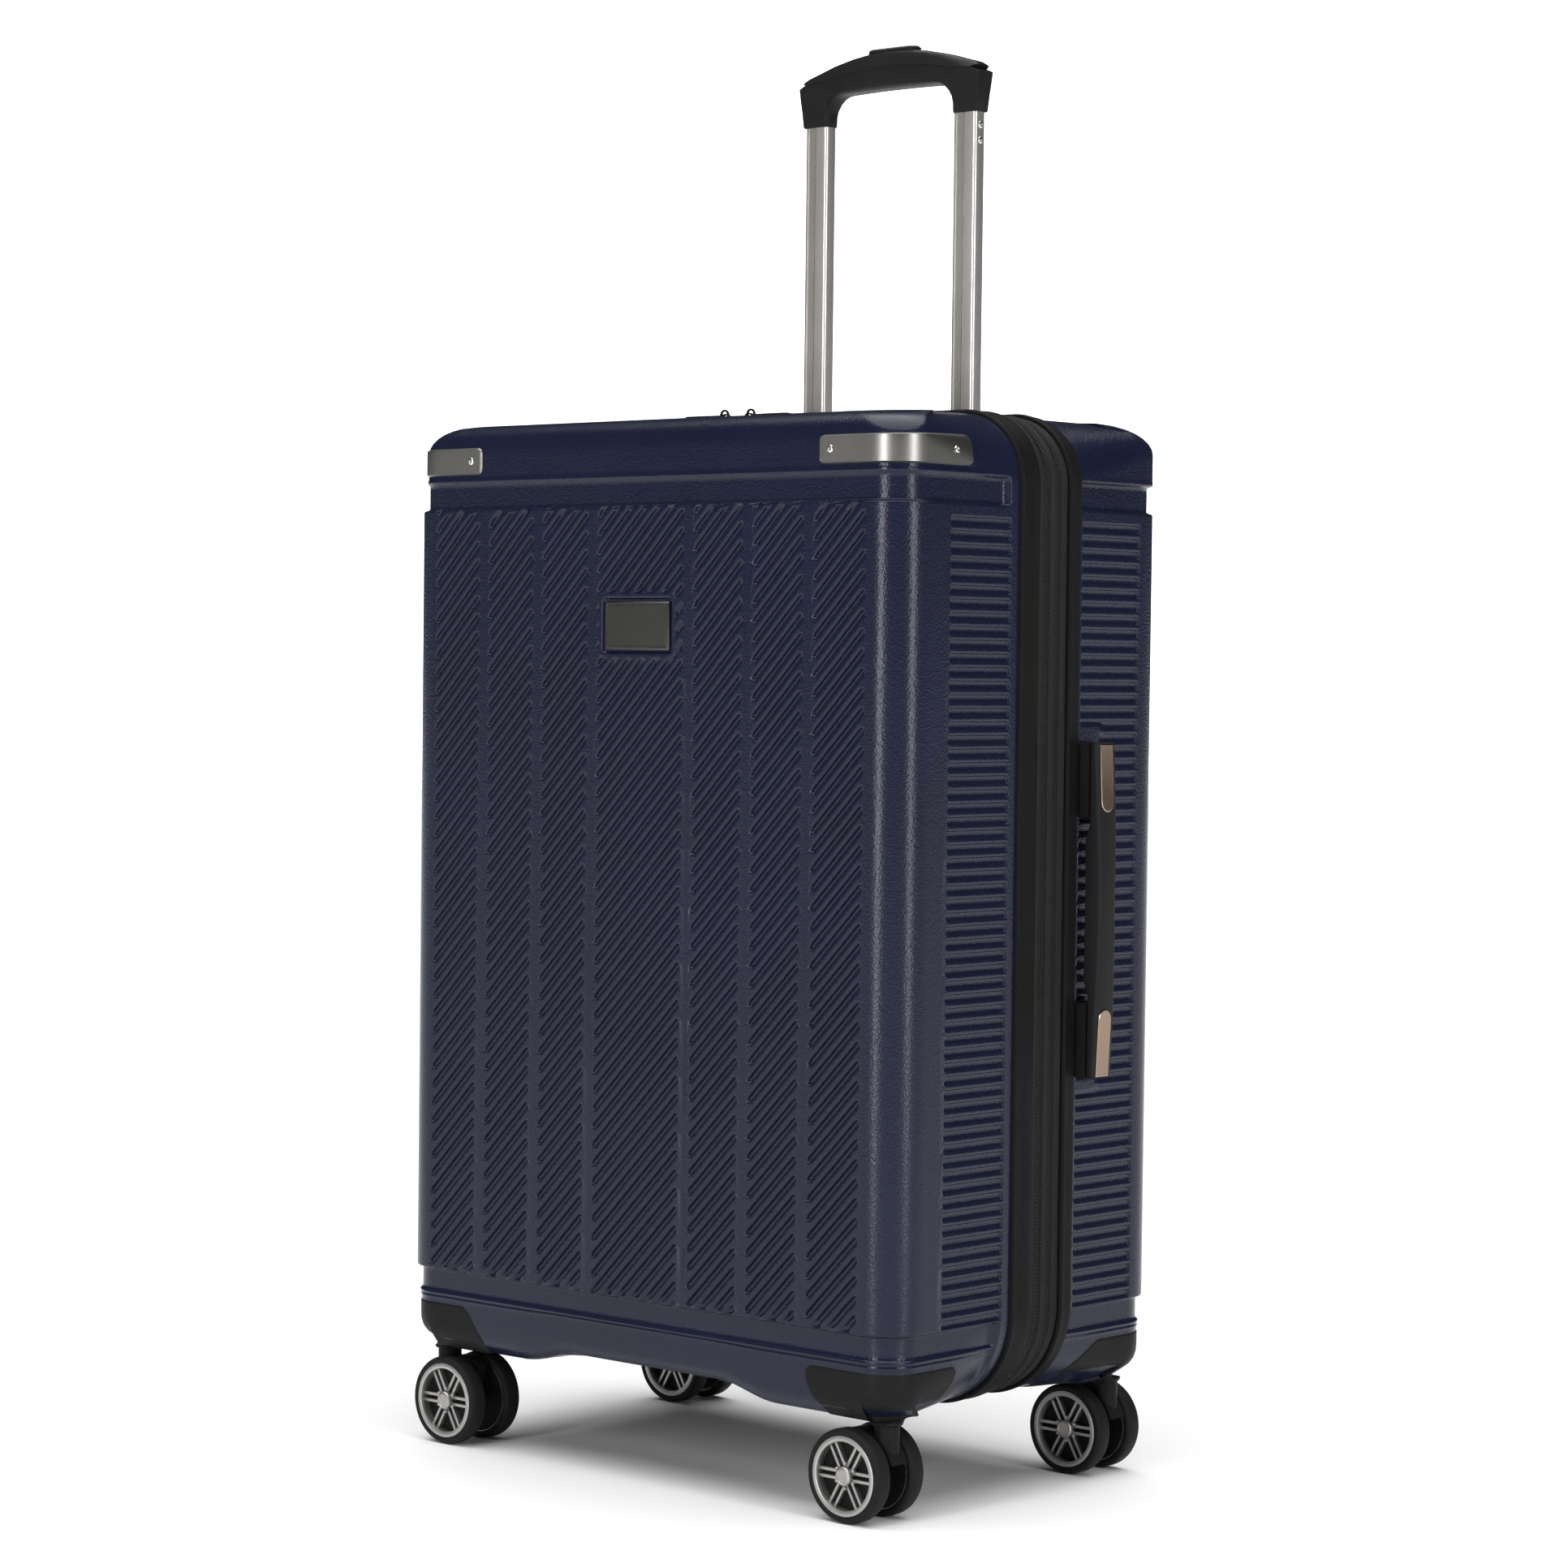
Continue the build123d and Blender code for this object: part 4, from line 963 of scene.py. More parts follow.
def guard_screws():
    """Two polished screws in each guard."""
    z = sum(GUARD_Z) / 2
    spots = []
    for station in (Station("front", 159.5, 1.0), Station("side", 81.0, 1.0)):
        x, y_out, nx, ny, fade = station.place(z)
        out = GUARD_PROUD - hem_offset(station, y_out) * fade
        tilt = 0.0 if station.kind == "front" else (z - TOP_Z + TOP_R) / TOP_R
        spots.append((x + nx * out, -(y_out + ny * out), float(warp(x, y_out, z)), nx, -ny, tilt))
    screws = []
    for side in (-1, 1):
        for x, y, z_at, nx, ny, tilt in spots:
            axis = Vector((side * nx, ny, tilt))
            screws.append(turned("screw", SCREW, (CENTRE_X + side * x, y, z_at), axis, STEEL, 20))
    piece = join("guard_screws", screws)
    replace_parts(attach(piece, "lid"), "guard_rivets")


def badge_plate():
    """A plain metal plate with a bevelled edge and a fine sunk border."""
    x0, z0 = PLATE_CENTRE
    face = -HALF_DEPTH - 0.4
    steps = ((0.0, 1.9), (0.0, 0.9), (0.9, 0.0), (1.9, 0.0), (2.15, 0.3), (2.5, 0.3), (2.75, 0.0))
    points, faces = [], []
    for inset, back in steps:
        w, h, r = PLATE_HALF[0] - inset, PLATE_HALF[1] - inset, max(1.2 - inset * 0.4, 0.4)
        for qx, qz, start in ((1, -1, -90), (1, 1, 0), (-1, 1, 90), (-1, -1, 180)):
            for k in range(4):
                a = math.radians(start + 30 * k)
                points.append((CENTRE_X + x0 + qx * (w - r) + r * math.cos(a), face + back,
                               z0 + qz * (h - r) + r * math.sin(a)))
    n = 16
    for i in range(len(steps) - 1):
        for j in range(n):
            faces.append((i * n + j, i * n + (j + 1) % n, (i + 1) * n + (j + 1) % n, (i + 1) * n + j))
    faces.append(tuple(range((len(steps) - 1) * n, len(steps) * n)))
    faces.append(tuple(range(n))[::-1])
    piece = shade_by_angle(mesh_object("badge_plate", points, faces, PLATE_METAL), 20)
    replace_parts(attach(piece, "lid"), "name_plate")



# ======================================================================= lofted and flat pieces
def solid(name, points, faces, material, angle):
    """A closed piece with its faces turned outwards."""
    piece = mesh_object(name, points, faces, material)
    merge_close(piece, outwards=True)
    return shade_by_angle(piece, angle)


def loft(name, rings, material, angle=35, closed=False):
    """A skin over rings of equal length, capped at both ends or joined into a loop."""
    n, m = len(rings[0]), len(rings)
    points = [p for ring in rings for p in ring]
    faces = []
    for i in range(m if closed else m - 1):
        a, b = i * n, (i + 1) % m * n
        faces += [(a + j, a + (j + 1) % n, b + (j + 1) % n, b + j) for j in range(n)]
    if not closed:
        faces += [tuple(range(n)), tuple(range((m - 1) * n, m * n))]
    return solid(name, points, faces, material, angle)


def finish_piece(piece, body, slot, *nodes):
    """Rides a piece on its body and replaces the nodes it stands for; slot is not used."""
    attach(piece, body)
    if nodes:
        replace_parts(piece, *nodes)
    return piece


# ---- trolley ----
TUBES_LOW, TUBES_HIGH = node_box("trolley_inner_tubes")
TUBE_Y = (TUBES_LOW[1] + TUBES_HIGH[1]) / 2
TUBE_HALF_W, TUBE_HALF_D = 9.75, 5.25
TUBE_X = (TUBES_HIGH[0] - TUBES_LOW[0]) / 2 - TUBE_HALF_W
TUBE_SCREW_Z = (881.0, 891.4)
FOOT_Z = node_box("trolley_grip")[0][2]
CROWN_Z = node_box("trolley_grip_cover")[1][2]
CROWN_DROP = 16.0
BUTTON_LOW, BUTTON_HIGH = node_box("trolley_button")


def inner_tubes():
    """Two drawn tubes with a step and a fine groove down the front face."""
    front = [(-7.4, -TUBE_HALF_D), (-7.2, -TUBE_HALF_D + 0.8), (-0.9, -TUBE_HALF_D + 0.4),
             (-0.7, -TUBE_HALF_D + 1.1), (0.0, -TUBE_HALF_D + 1.1), (0.3, -TUBE_HALF_D)]
    outline = front + rounded(TUBE_HALF_W, TUBE_HALF_D, 2.2)
    tubes = []
    for side in (-1, 1):
        rings = [[(CENTRE_X + side * TUBE_X + x, TUBE_Y + y, z) for x, y in outline]
                 for z in (TUBES_LOW[2], TUBES_HIGH[2] - 5)]
        tubes.append(loft("tube", rings, ALUMINIUM, 25))
    finish_piece(join("inner_tubes", tubes), "trolley_inner", "tube_metal", "trolley_inner_tubes")
    heads = []
    for side in (-1, 1):
        for z in TUBE_SCREW_Z:
            spot = (CENTRE_X + side * (TUBE_X + TUBE_HALF_W), TUBE_Y, z)
            heads.append(turned("screw", SCREW, spot, (side, 0, 0), STEEL, 20))
    finish_piece(join("tube_screws", heads), "trolley_inner", "steel", "trolley_rivets")


def grip_pairs():
    """(outer, inner, half depth, seam share) down the right half of the grip, middle first."""
    pairs = []
    for share in (0.0, 0.25, 0.5, 0.75, 1.0):
        x = 66.0 * share
        pairs.append(((x, CROWN_Z - CROWN_DROP * (x / 80.0) ** 2), (41.75 * share, 921.4 - 0.6 * share ** 2),
                      10.0 - 0.3 * share, 0.57 + 0.03 * share))
    outers = ((73.5, 934.0), (78.2, 931.4), (79.9, 927.0), (79.4, 919.0), (78.4, 910.0))
    depths, seams = (9.6, 9.3, 8.8, 8.0, 7.2), (0.68, 0.84, 1.0, 1.0, 1.0)
    for step, (outer, depth, seam) in enumerate(zip(outers, depths, seams), 1):
        a = math.radians(18.0 * step)
        inner = (41.75 + 14.0 * math.sin(a), 907.0 + 14.0 * math.cos(a))
        pairs.append((outer, inner, depth, seam))
    pairs.append(((77.6, FOOT_Z + 1.0), (55.6, FOOT_Z + 1.0), 6.6, 1.0))
    pairs.append(((77.1, FOOT_Z), (56.1, FOOT_Z), 6.1, 1.0))
    return pairs


def grip_ring(pair, side, lower):
    """One cross-section of the grip body (lower) or of its cover."""
    outer, inner, half, seam = pair
    length = math.dist(outer, inner)
    cut = length * seam
    if lower:
        end = 0.9 if seam >= 1.0 else 1.0
        shape = [(0.0, 0.5), (0.5, 0.74), (1.7, 0.93), (3.4, 1.0), (cut - 0.7, 1.0), (cut, end)]
    else:
        left = length - cut
        shape = [(cut + 0.15, 0.96), (cut + min(0.7, left * 0.2), 1.0), (length - left * 0.36, 0.84),
                 (length - left * 0.14, 0.7), (length, 0.5)]
    ring = [(d, -w * half) for d, w in shape] + [(d, w * half) for d, w in reversed(shape)]
    dx, dz = (outer[0] - inner[0]) / length, (outer[1] - inner[1]) / length
    return [(CENTRE_X + side * (inner[0] + dx * d), TUBE_Y + w, inner[1] + dz * d) for d, w in ring]


def trolley_handle():
    """The grip, its glossy cover and the push button between them."""
    pairs = grip_pairs()
    body = [grip_ring(p, -1, True) for p in reversed(pairs[1:])] + [grip_ring(p, 1, True) for p in pairs]
    finish_piece(loft("grip_body", body, GRIP, 30), "trolley_inner", "grip_black", "trolley_grip")
    held = [p for p in pairs if p[3] < 1.0]
    cover = [grip_ring(p, -1, False) for p in reversed(held[1:])] + [grip_ring(p, 1, False) for p in held]
    finish_piece(loft("grip_cover", cover, COVER, 22), "trolley_inner", "grip_black", "trolley_grip_cover")
    (x0, y0, _), (half_x, half_y, _) = node_middle("trolley_button")
    top = BUTTON_HIGH[2]

    def stack(name, levels, material, slot, *nodes):
        """A rounded block from (inset, height) levels."""
        rings = [[(x0 + x, y0 + y, z) for x, y in rounded(half_x - inset, half_y - inset, 3.0 - inset * 0.5)]
                 for inset, z in levels]
        finish_piece(loft(name, rings, material), "grip_button", slot, *nodes)
    stack("button_base", ((0.0, BUTTON_LOW[2]), (0.0, top - 1.5), (0.5, top - 0.9)), GRIP, "grip_black",
          "trolley_button")
    stack("button_plate", ((1.1, top - 2.0), (1.1, top - 0.3), (1.5, top)), ALUMINIUM, "tube_metal")


# ---- side handle ----
HANDLE_LOW = node_box("side_handle_grip")[0]
INSERT_LOW, INSERT_HIGH = node_box("side_handle_inserts")
WALL_X = CENTRE_X + HALF_WIDTH


def side_handle():
    """A bowed grip, narrower in the middle, with legs into the wall and a bronze insert at each end."""
    (_, y_mid, z_mid), (_, _, z_half) = node_middle("side_handle_grip")
    marks = ((1.0, 9.3, 14.6, 1.4), (0.993, 9.3, 15.3, 0.4), (0.95, 9.3, 15.6, 0.0), (0.75, 9.3, 16.6, 0.0),
             (0.56, 9.3, 17.4, 0.0), (0.51, 9.35, 17.6, 0.0), (0.47, 7.6, 17.8, 0.0), (0.42, 5.6, 18.0, 0.0),
             (0.2, 5.4, 18.5, 0.0), (0.0, 5.4, 18.7, 0.0))
    marks = marks + tuple((-a, b, c, d) for a, b, c, d in reversed(marks[:-1]))
    rings = []
    for share, inner, outer, less in marks:
        width = 8.0 + 1.5 * min(abs(share) / 0.6, 1.0) - less
        half = (outer - inner) / 2 - less * 0.4
        rings.append([(WALL_X + (inner + outer) / 2 + a, y_mid + b, z_mid - share * z_half)
                      for a, b in rounded(half, width, min(1.9, half * 0.6))])
    parts = [loft("strap", rings, GRIP, 30)]
    for side in (-1, 1):
        z0 = z_mid + side * (z_half - 24.0)
        leg = [[(x, y_mid + a, z0 + b) for a, b in rounded(5.5, 15.0, 1.5)]
               for x in (HANDLE_LOW[0], WALL_X + 11.0)]
        parts.append(loft("leg", leg, GRIP))
    finish_piece(join("side_grip", parts), "side_handle", "grip_black", "side_handle_grip")
    plates = []
    y0, y1 = INSERT_LOW[1], INSERT_HIGH[1]
    radius = (y1 - y0) / 2
    for side in (-1, 1):
        z_end = z_mid + side * (z_half - 1.2)
        outline = [(y0, z_end), (y1, z_end)]
        z_turn = z_end - side * (43.0 - radius)
        for k in range(9):
            a = math.pi * k / 8
            outline.append((y0 + radius + radius * math.cos(a), z_turn - side * radius * math.sin(a)))

        def bow(z):
            """How far the grip's face stands out at a height."""
            share = (z - z_mid) / z_half
            return 18.7 - 3.1 * share * share
        centre_y, centre_z = y0 + radius, (z_end + z_turn) / 2
        ring_set = []
        for shrink, out in ((1.0, -1.0), (1.0, 0.15), (0.93, 0.5), (0.6, 0.35)):
            ring_set.append([(WALL_X + bow(z) + out, centre_y + (y - centre_y) * shrink,
                              centre_z + (z - centre_z) * (1 - (1 - shrink) * 0.35)) for y, z in outline])
        plates.append(loft("insert", ring_set, BRONZE, 20))
    finish_piece(join("side_inserts", plates), "side_handle", "bronze_metal", "side_handle_inserts")


# ---- caster housings ----
HOUSING_TOP = 94.5
HOUSING_CUT = 63.2
HOUSING_SKIN = 0.8
HOUSING_ROUND = 9.0
STEM_OUT_X, STEM_OUT_Y = 196.0, 110.0
SKIRT_R, SKIRT_Z = 9.9, 61.3


def housing_end(kind, z):
    """Where a housing ends on a panel or side wall, measured out from the middle of the case."""
    low = (HOUSING_TOP - z) / (HOUSING_TOP - HOUSING_CUT)
    near = HOUSING_TOP - z
    turn = 0.0
    if near < HOUSING_ROUND:
        turn = HOUSING_ROUND - math.sqrt(HOUSING_ROUND ** 2 - (HOUSING_ROUND - near) ** 2)
    if kind == "flared":
        return 156.0 + turn - 15.0 * float(smoothstep(0.0, 1.0, low))
    if kind == "drawn":
        return 145.0 + turn + 14.0 * low * low
    if kind == "rear_side":
        return 69.0 + turn - 20.0 * float(smoothstep(0.0, 1.0, low))
    return 65.0 + turn + 10.0 * low * low


def underside(x, y_out):
    """Height of the shell's rounded underside, before draft."""
    side_r = side_radius(PANEL_BOTTOM_R, BOTTOM_R, y_out)
    rises = []
    for radius, reach, limit in ((side_r, abs(x), HALF_WIDTH), (EDGE_R, y_out, HALF_DEPTH)):
        over = min(max(reach - limit + radius, 0.0), radius)
        rises.append(radius - math.sqrt(radius * radius - over * over))
    return BOTTOM_Z + max(rises)


def caster_housing(name, side, facing, kind, side_kind, body):
    """A moulded corner cover that draws down into the skirt round the caster's stem."""
    heights = [HOUSING_TOP - n for n in (0.0, 0.12, 0.5, 1.2, 2.5, 4.5, 7.0, 10.0, 15.0, 20.0, 24.0)]
    heights.append(HOUSING_CUT)
    edge = (0.0, 0.15, 0.5, 1.2, 2.6)
    rows = []
    for z in heights:
        x_end, y_end = housing_end(kind, z), housing_end(side_kind, z)
        flat_x, flat_y = HALF_WIDTH - PLAN_R, HALF_DEPTH - PLAN_R
        run = [(Station("front", x_end + n, 1.0), n) for n in edge]
        run += [(Station("front", x, 1.0), 9) for x in np.linspace(x_end + edge[-1], flat_x, 6)[1:]]
        run += [(Station("arc", a, 1.0), 9) for a in np.linspace(0, math.pi / 2, 10)[1:]]
        run += [(Station("side", y, 1.0), 9) for y in np.linspace(flat_y, y_end + edge[-1], 6)[1:-1]]
        run += [(Station("side", y_end + n, 1.0), n) for n in reversed(edge)]
        row = []
        for station, margin in run:
            x, y_out, nx, ny, fade = station.place(z)
            if station.kind == "front":
                x = station.value
            if station.kind == "side":
                y_out = station.value
            near = min(margin, HOUSING_TOP - z)
            lift = -0.9 + 1.5 * math.sqrt(max(1 - (1 - min(near / 1.2, 1.0)) ** 2, 0.0))
            level = FOOT_DEPTH if station.kind != "side" else FOOT_DEPTH * min(
                max((y_out - BAND_END) / 5.0, 0.0), 1.0)
            out = lift - level * fade
            row.append((x + nx * out, y_out + ny * out, z))
        rows.append(row)
    low_row = rows[-1]
    inner_x, inner_y = low_row[0][0], low_row[-1][1]
    back = [(inner_x + (low_row[-1][0] - inner_x) * t, inner_y, HOUSING_CUT) for t in (0.75, 0.5, 0.25)]
    back += [(inner_x, inner_y, HOUSING_CUT)]
    back += [(inner_x, inner_y + (low_row[0][1] - inner_y) * t, HOUSING_CUT) for t in (0.3, 0.6)]

    def shut(row):
        """Closes a row behind, inside the shell."""
        return row + [(x, y, row[0][2]) for x, y, _ in back]
    rings = [shut(row) for row in rows]
    polygon = rings[-1]
    for share in (0.05, 0.2, 0.4, 0.6, 0.8, 1.0):
        ring = []
        for x, y, z in polygon:
            dx, dy = x - STEM_OUT_X, y - STEM_OUT_Y
            away = math.hypot(dx, dy)
            goal_x = STEM_OUT_X + dx / away * (SKIRT_R + 0.3)
            goal_y = STEM_OUT_Y + dy / away * (SKIRT_R + 0.3)
            at_x, at_y = x + (goal_x - x) * share, y + (goal_y - y) * share
            level = underside(at_x, at_y) - HOUSING_SKIN
            ring.append((at_x, at_y, min(level, BOTTOM_Z - HOUSING_SKIN) if share == 1.0 else level))
        rings.append(ring)
    placed = [[(CENTRE_X + side * x, facing * y, float(warp(x, y, z))) for x, y, z in ring] for ring in rings]
    for radius, z in ((SKIRT_R, 62.4), (SKIRT_R - 0.2, SKIRT_Z), (5.0, SKIRT_Z)):
        ring = []
        for x, y, _ in polygon:
            a = math.atan2(y - STEM_OUT_Y, x - STEM_OUT_X)
            ring.append((CENTRE_X + side * (STEM_OUT_X + radius * math.cos(a)),
                         facing * (STEM_OUT_Y + radius * math.sin(a)), z))
        placed.append(ring)
    piece = loft(name + "_cover", placed, PLASTIC, 50)
    finish_piece(piece, body, "plastic_black", name + "_housing")


# ---- wheels ----
RIM_OUT = 24.8


def wheel(corner, row):
    """Tyre with a flat tread and soft shoulders, and a dished ring and cap on the hub."""
    part = corner + "_" + row
    centre, _ = node_middle(part + "_tyre")
    away = 1.0 if centre[1] > 0 else -1.0
    if row == "inner":
        away = -away
    body = part + "_wheel"
    half = [(29.5, 3.3), (29.2, 4.6), (28.6, 5.7), (27.6, 6.4), (26.4, 6.3), (RIM_OUT, 5.6)]
    profile = [(radius, -height) for radius, height in reversed(half)] + half
    tyre = turned(part + "_tread", profile, centre, (0, away, 0), TYRE, 72, 40, True)
    finish_piece(tyre, body, "tyre_black", part + "_tyre")
    lip = [(21.4, 4.6), (21.7, 5.9), (22.5, 6.3), (23.6, 6.35), (24.5, 6.0), (24.75, 5.2)]
    ring = turned("ring", lip, centre, (0, away, 0), SILVER, 60, 30, True)
    cap = [(5.9, 3.0), (5.9, 5.8), (5.4, 6.5), (4.4, 6.8), (4.1, 6.45), (0.0, 6.5)]
    middle = turned("cap", cap, centre, (0, away, 0), SILVER, 32, 30)
    lug = [(1.2, 2.0), (1.2, 4.3), (0.8, 4.8), (0.0, 4.9)]
    pins = []
    for n in range(6):
        a = math.radians(60 * n + 30)
        spot = (centre[0] + 7.6 * math.cos(a), centre[1], centre[2] + 7.6 * math.sin(a))
        pins.append(turned("pin", lug, spot, (0, away, 0), SILVER, 12, 30))
    piece = join(part + "_hub_face", [ring, middle] + pins)
    finish_piece(piece, body, "hub_silver")
    web = [(0.0, -6.2), (24.3, -6.2), (24.3, -5.5), (21.5, -5.3), (21.5, -0.4), (0.0, -0.4)]
    disc = turned(part + "_web", web, centre, (0, away, 0), PLASTIC, 40, 30)
    finish_piece(disc, body, "plastic_black")


# ---- zip sliders ----
def rounded_plate(centre, half_l, half_w, levels, radius, material):
    """A flat piece lying on the zip, its outline inset level by level."""
    x0, y0 = centre
    rings = [[(x0 + a, y0 + b, z) for a, b in rounded(half_l - inset, half_w - inset, radius - inset * 0.5)]
             for inset, z in levels]
    return loft("plate", rings, material)


def zip_pull(side_name, way):
    """Slider with a bridge, and a ringed loop and flat pull that turn on its pin."""
    (x0, y0, _), _ = node_middle("main_slider_" + side_name)
    base = node_box("main_slider_" + side_name)[0][2]
    body = rounded_plate((x0, y0), 6.0, 4.0, ((0.8, base), (0.0, base + 0.7), (0.0, base + 2.2),
                                              (0.9, base + 3.2)), 2.2, COIL)
    arch = []
    for k in range(9):
        a = math.pi * k / 8
        x, z = x0 - 4.3 * math.cos(a), base + 3.0 + 3.6 * math.sin(a)
        arch.append([(x + b * math.cos(a), y0 + c, z - b * math.sin(a))
                     for b, c in rounded(0.55, 1.3, 0.4, 2)])
    piece = join("slider_" + side_name + "_body", [body, loft("arch", arch, COIL)])
    finish_piece(piece, "slider_" + side_name, "zip_black", "main_slider_" + side_name)
    pin_z = base + 5.2
    loop = []
    for k in range(24):
        a = 2 * math.pi * k / 24
        cx, cz = x0 + way * 1.2 + 3.3 * math.cos(a), pin_z + 0.8 + 3.3 * math.sin(a)
        loop.append([(cx + b * math.cos(a), y0 + c, cz + b * math.sin(a))
                     for b, c in rounded(0.7, 0.8, 0.4, 2)])
    ring = loft("loop", loop, COIL, 50, True)
    neck = rounded_plate((x0 + way * 9.0, y0), 5.0, 1.9, ((0.3, pin_z - 1.0), (0.0, pin_z - 0.7),
                                                          (0.0, pin_z + 0.5), (0.3, pin_z + 0.9)), 1.2, TRIM)
    levels = ((0.4, -1.0), (0.0, -0.6), (0.0, 0.5), (0.6, 0.9), (1.4, 0.9), (1.7, 0.6))
    flat = rounded_plate((x0 + way * 24.0, y0), 12.0, 3.5, [(inset, pin_z + z) for inset, z in levels],
                         2.6, TRIM)
    finish_piece(ring, "tab_" + side_name, "zip_black")
    finish_piece(join("pull_" + side_name, [neck, flat]), "tab_" + side_name, "zip_black",
                 "pull_tab_" + side_name)


# ---- straps, buckle and hinge ----
BAND_SECTION = ((-1, -0.3), (-0.97, -0.5), (-0.5, -0.5), (0, -0.55), (0.5, -0.5), (0.97, -0.5), (1, -0.3),
                (1, 0.3), (0.97, 0.5), (0.5, 0.45), (0, 0.45), (-0.5, 0.45), (-0.97, 0.5), (-1, 0.3))


def cloth_band(name, along, across, normal_of, count, half, thick, material):
    """A woven band: rings of a flat rounded section carried along a line of points."""
    rings = []
    for k in range(count):
        x, y, z = along(k / (count - 1))
        sway = normal_of(k / (count - 1))
        rings.append([(x, y + sway + b * thick, z + a * half) if across == "z" else
                      (x + sway + b * thick, y + a * half, z) for a, b in BAND_SECTION])
    return loft(name, rings, material, 40)


def packing_straps():
    """Two elastic bands that sag a little between the walls and the buckle."""
    (centre, y0, z0), (reach, _, half) = node_middle("packing_straps")
    bands = []
    for side in (-1, 1):
        def along(share, side=side):
            x = centre + side * (16.0 + (reach - 16.0) * share)
            return x, y0, z0 - 5.0 * math.sin(math.pi * share)

        def sway(share):
            return -0.5 * math.sin(math.pi * share) + 0.12 * math.sin(share * 40)
        bands.append(cloth_band("band", along, "z", sway, 41, half, 1.3, TAPE))
    finish_piece(join("strap_bands", bands), "rear_case", "zip_black", "packing_straps")
    low, high = node_box("strap_buckle")
    (x0, _, z0), (half_x, _, half_z) = node_middle("strap_buckle")
    halves = ((-half_x * 0.42, half_x * 0.58, half_z, 1.0), (half_x * 0.5, half_x * 0.5, half_z * 0.82, 0.8))
    levels = ((0.5, 0.02), (0.0, 0.15), (0.0, 0.75), (1.2, 1.0), (3.5, 1.0), (4.1, 0.9))
    parts = []
    for shift, wide, tall, deep in halves:
        rings = [[(x0 + shift + a, high[1] - (high[1] - low[1]) * deep * out, z0 + b)
                  for a, b in rounded(wide - inset, tall - inset, 4.0 - inset * 0.5)]
                 for inset, out in levels]
        parts.append(loft("half", rings, PLASTIC))
    finish_piece(join("buckle", parts), "rear_case", "plastic_black", "strap_buckle")


def lining_apron(name, mouth, facing, body):
    """Cloth that closes the lining's raised floor down to the rim at the mouth."""
    reach = BOTTOM_R - 3.0
    rings = []
    for x in np.linspace(-211.0, 211.0, 61):
        over = max(abs(x) - (HALF_WIDTH - BOTTOM_R), 0.0)
        low = BOTTOM_Z + BOTTOM_R - math.sqrt(reach * reach - over * over)
        fold = 0.25 * math.sin(x * 0.21)
        high = LINING_FLOOR + 0.6
        rings.append([(CENTRE_X + x, facing * (mouth + y + fold), float(warp(x, mouth, z)))
                      for y, z in ((2.0, low), (3.0, low), (3.0, high), (2.0, high))])
    finish_piece(loft(name, rings, LINING, 40), body, "lining_cloth")


def hinge_cloth():
    """The pleated cloth hinge inside the left wall."""
    low, high = node_box("hinge_strip")
    (x0, y0, _), (_, half, _) = node_middle("hinge_strip")

    def along(share):
        return x0, y0, low[2] + (high[2] - low[2]) * share

    def sway(share):
        return 0.15 * math.sin(share * 60)
    band = cloth_band("hinge_cloth", along, "y", sway, 61, half, 1.0, TAPE)
    finish_piece(band, "expander", "zip_black", "hinge_strip")


# ======================================================================= the pieces, in order
front_shell = half_shell("front_shell_moulding", -MOUTH_FRONT, -1, POCKETS_FRONT, HEM_DEPTH_FRONT, ())
finish_piece(front_shell, "lid", "shell_navy", "front_shell")
rear_shell = half_shell("rear_shell_moulding", MOUTH_REAR, 1, POCKETS_REAR, HEM_DEPTH_REAR, HANDLE_PADS)
finish_piece(rear_shell, "rear_case", "shell_navy", "rear_shell")
finish_piece(front_trim(), "lid", "trim_black", "front_rim_trim")
finish_piece(rear_trim(), "rear_case", "trim_black", "rear_rim_trim")
zips()
expander_gusset()
lining("front_lining_cloth", -MOUTH_FRONT, HALF_DEPTH - 7.5, -1, "lid", "front_lining")
rear_back = node_box("rear_lining")[1][1] - 1.0
lining("rear_lining_cloth", MOUTH_REAR, rear_back, 1, "rear_case", "rear_lining")
corner_guard("corner_guard_right_metal", 1, "corner_guard_right")
corner_guard("corner_guard_left_metal", -1, "corner_guard_left")
guard_screws()
badge_plate()
inner_tubes()
trolley_handle()
side_handle()
caster_housing("fr", 1, -1, "drawn", "front_side", "lid")
caster_housing("fl", -1, -1, "flared", "front_side", "lid")
caster_housing("rr", 1, 1, "drawn", "rear_side", "rear_case")
caster_housing("rl", -1, 1, "drawn", "rear_side", "rear_case")
for corner in ("fl", "fr", "rl", "rr"):
    for row in ("outer", "inner"):
        wheel(corner, row)
zip_pull("left", -1)
zip_pull("right", 1)
packing_straps()
hinge_cloth()
lining_apron("front_lining_apron", -MOUTH_FRONT, -1, "lid")
lining_apron("rear_lining_apron", MOUTH_REAR, 1, "rear_case")


# ======================================================================= finishes of the carried-over nodes
FINISHES = {
    "shell_navy": NAVY, "trim_black": TRIM, "plastic_black": PLASTIC, "grip_black": GRIP, "zip_black": TAPE,
    "lining_cloth": LINING, "guard_metal": GUNMETAL, "tube_metal": ALUMINIUM, "steel": STEEL,
    "bronze_metal": BRONZE, "tyre_black": TYRE, "hub_silver": SILVER,
}
slot_of = {part["node"]: part["material_slot"] for part in frame["record"]["subparts"]}
for name, thing in frame["nodes"].items():
    if thing.hide_render:
        continue
    thing.data.materials.clear()
    thing.data.materials.append(FINISHES[slot_of[name]])


# ======================================================================= camera, floor and light
CAMERA_AT = Vector((1.7955, -1.9940, 0.5297))
AZIMUTH, PITCH, ROLL = math.radians(42.053), math.radians(1.7256), math.radians(0.6715)
FOCAL_MM = 92.75
LIGHT_AIM = (0, 0, 0.38)


